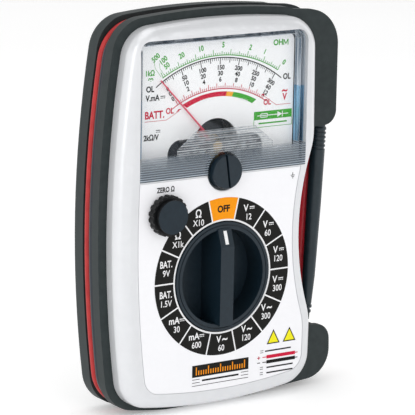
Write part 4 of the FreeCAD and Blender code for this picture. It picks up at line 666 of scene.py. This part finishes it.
# Painted highlights on the hood: noise glints, bright bands and its side faces seen edge-on make it
# show over the plate.
glints = step_up(tree, grain(clear, 420.0, 3.0).outputs["Fac"], 0.15, 0.75)
slats = step_up(tree, bands_up(180.0).outputs["Fac"], 0.55, 1.0)
facing = tree.nodes.new("ShaderNodeNewGeometry")
facing_axes = tree.nodes.new("ShaderNodeSeparateXYZ")
tree.links.new(facing.outputs["True Normal"], facing_axes.inputs["Vector"])
rim = below(tree, sum_of(tree, "ABSOLUTE", facing_axes.outputs["Y"]), 0.5, 0.7)
lines = sum_of(tree, "MAXIMUM", sum_of(tree, "MULTIPLY", slats, 0.75),
               sum_of(tree, "MULTIPLY", glints, 0.75))
hood_see = sum_of(tree, "MAXIMUM", sum_of(tree, "MULTIPLY", rim, 0.85), lines)
see = sum_of(tree, "MAXIMUM", see, sum_of(tree, "MULTIPLY", hood, hood_see))
tree.links.new(sum_of(tree, "MAXIMUM", see, 0.02), glass.inputs["Alpha"])
roughen(clear, grain(clear, 40.0, 2.0).outputs["Fac"], 0.04, 0.10)
wear("window", clear)

# Pointer: thin aluminium blade, stamped, lacquered pink-red and carried round by
# the coil.
wear("pointer", finish("pointer_lacquer", (0.62, 0.05, 0.10), (0.72, 0.08, 0.14), (0.3, 0.4),
                       900.0))

# Movement and the small parts like it: aluminium frame, black core magnet and
# bridge, brass screws and springs, and a coil wound with enamelled copper.
bright = finish("bright_alloy", (0.58, 0.59, 0.61), (0.70, 0.71, 0.73), (0.3, 0.45), 1200.0,
                metal=1.0)
for name in ("movement_frame", "core_brackets", "rear_bridge", "coil_bobbin", "zero_ohm_shaft"):
    wear(name, bright)
dark_part = finish("black_moulding", (0.018, 0.024, 0.032), (0.030, 0.038, 0.048), (0.4, 0.55),
                   800.0)
for name in ("core_magnet", "front_bridge", "zero_ohm_pot", "lead_clamp"):
    wear(name, dark_part)
brassy = finish("bare_brass", (0.60, 0.42, 0.17), (0.72, 0.53, 0.24), (0.22, 0.38), 900.0,
                metal=1.0)
for name in ("jewel_screws", "pointer_weight", "hairspring_front", "hairspring_rear", "zero_lever",
             "detent_leaf", "wiper_contacts", "fuse_clips", "lead_terminals"):
    wear(name, brassy)
winding = finish("enamelled_copper", (0.38, 0.12, 0.04), (0.55, 0.20, 0.08), (0.25, 0.4), 2500.0,
                 relief=0.4, metal=1.0)
wear("coil_winding", winding)

# Circuit board: green lacquered laminate held by its own screws, with tinned
# switch pads and soldered resistors, diodes and fuse clips; and the AA cell.
wear("circuit_board", finish("solder_mask", (0.01, 0.10, 0.04), (0.02, 0.15, 0.06), (0.25, 0.4),
                             600.0, coat=0.4))
wear("switch_pads", finish("tinned_copper", (0.55, 0.50, 0.42), (0.68, 0.62, 0.52), (0.25, 0.4),
                           900.0, metal=1.0))
wear("resistors", finish("blue_lacquer", (0.10, 0.26, 0.42), (0.15, 0.34, 0.52), (0.3, 0.4),
                         900.0))
wear("diodes", finish("amber_glass", (0.50, 0.14, 0.05), (0.62, 0.20, 0.08), (0.12, 0.2), 900.0,
                      coat=0.6))
wear("fuse", finish("fuse_glass", (0.62, 0.66, 0.66), (0.74, 0.78, 0.78), (0.08, 0.16), 300.0,
                    coat=0.8))
wear("battery_cell", finish("cell_sleeve", (0.02, 0.03, 0.05), (0.04, 0.06, 0.09), (0.2, 0.3),
                            300.0, coat=0.5))
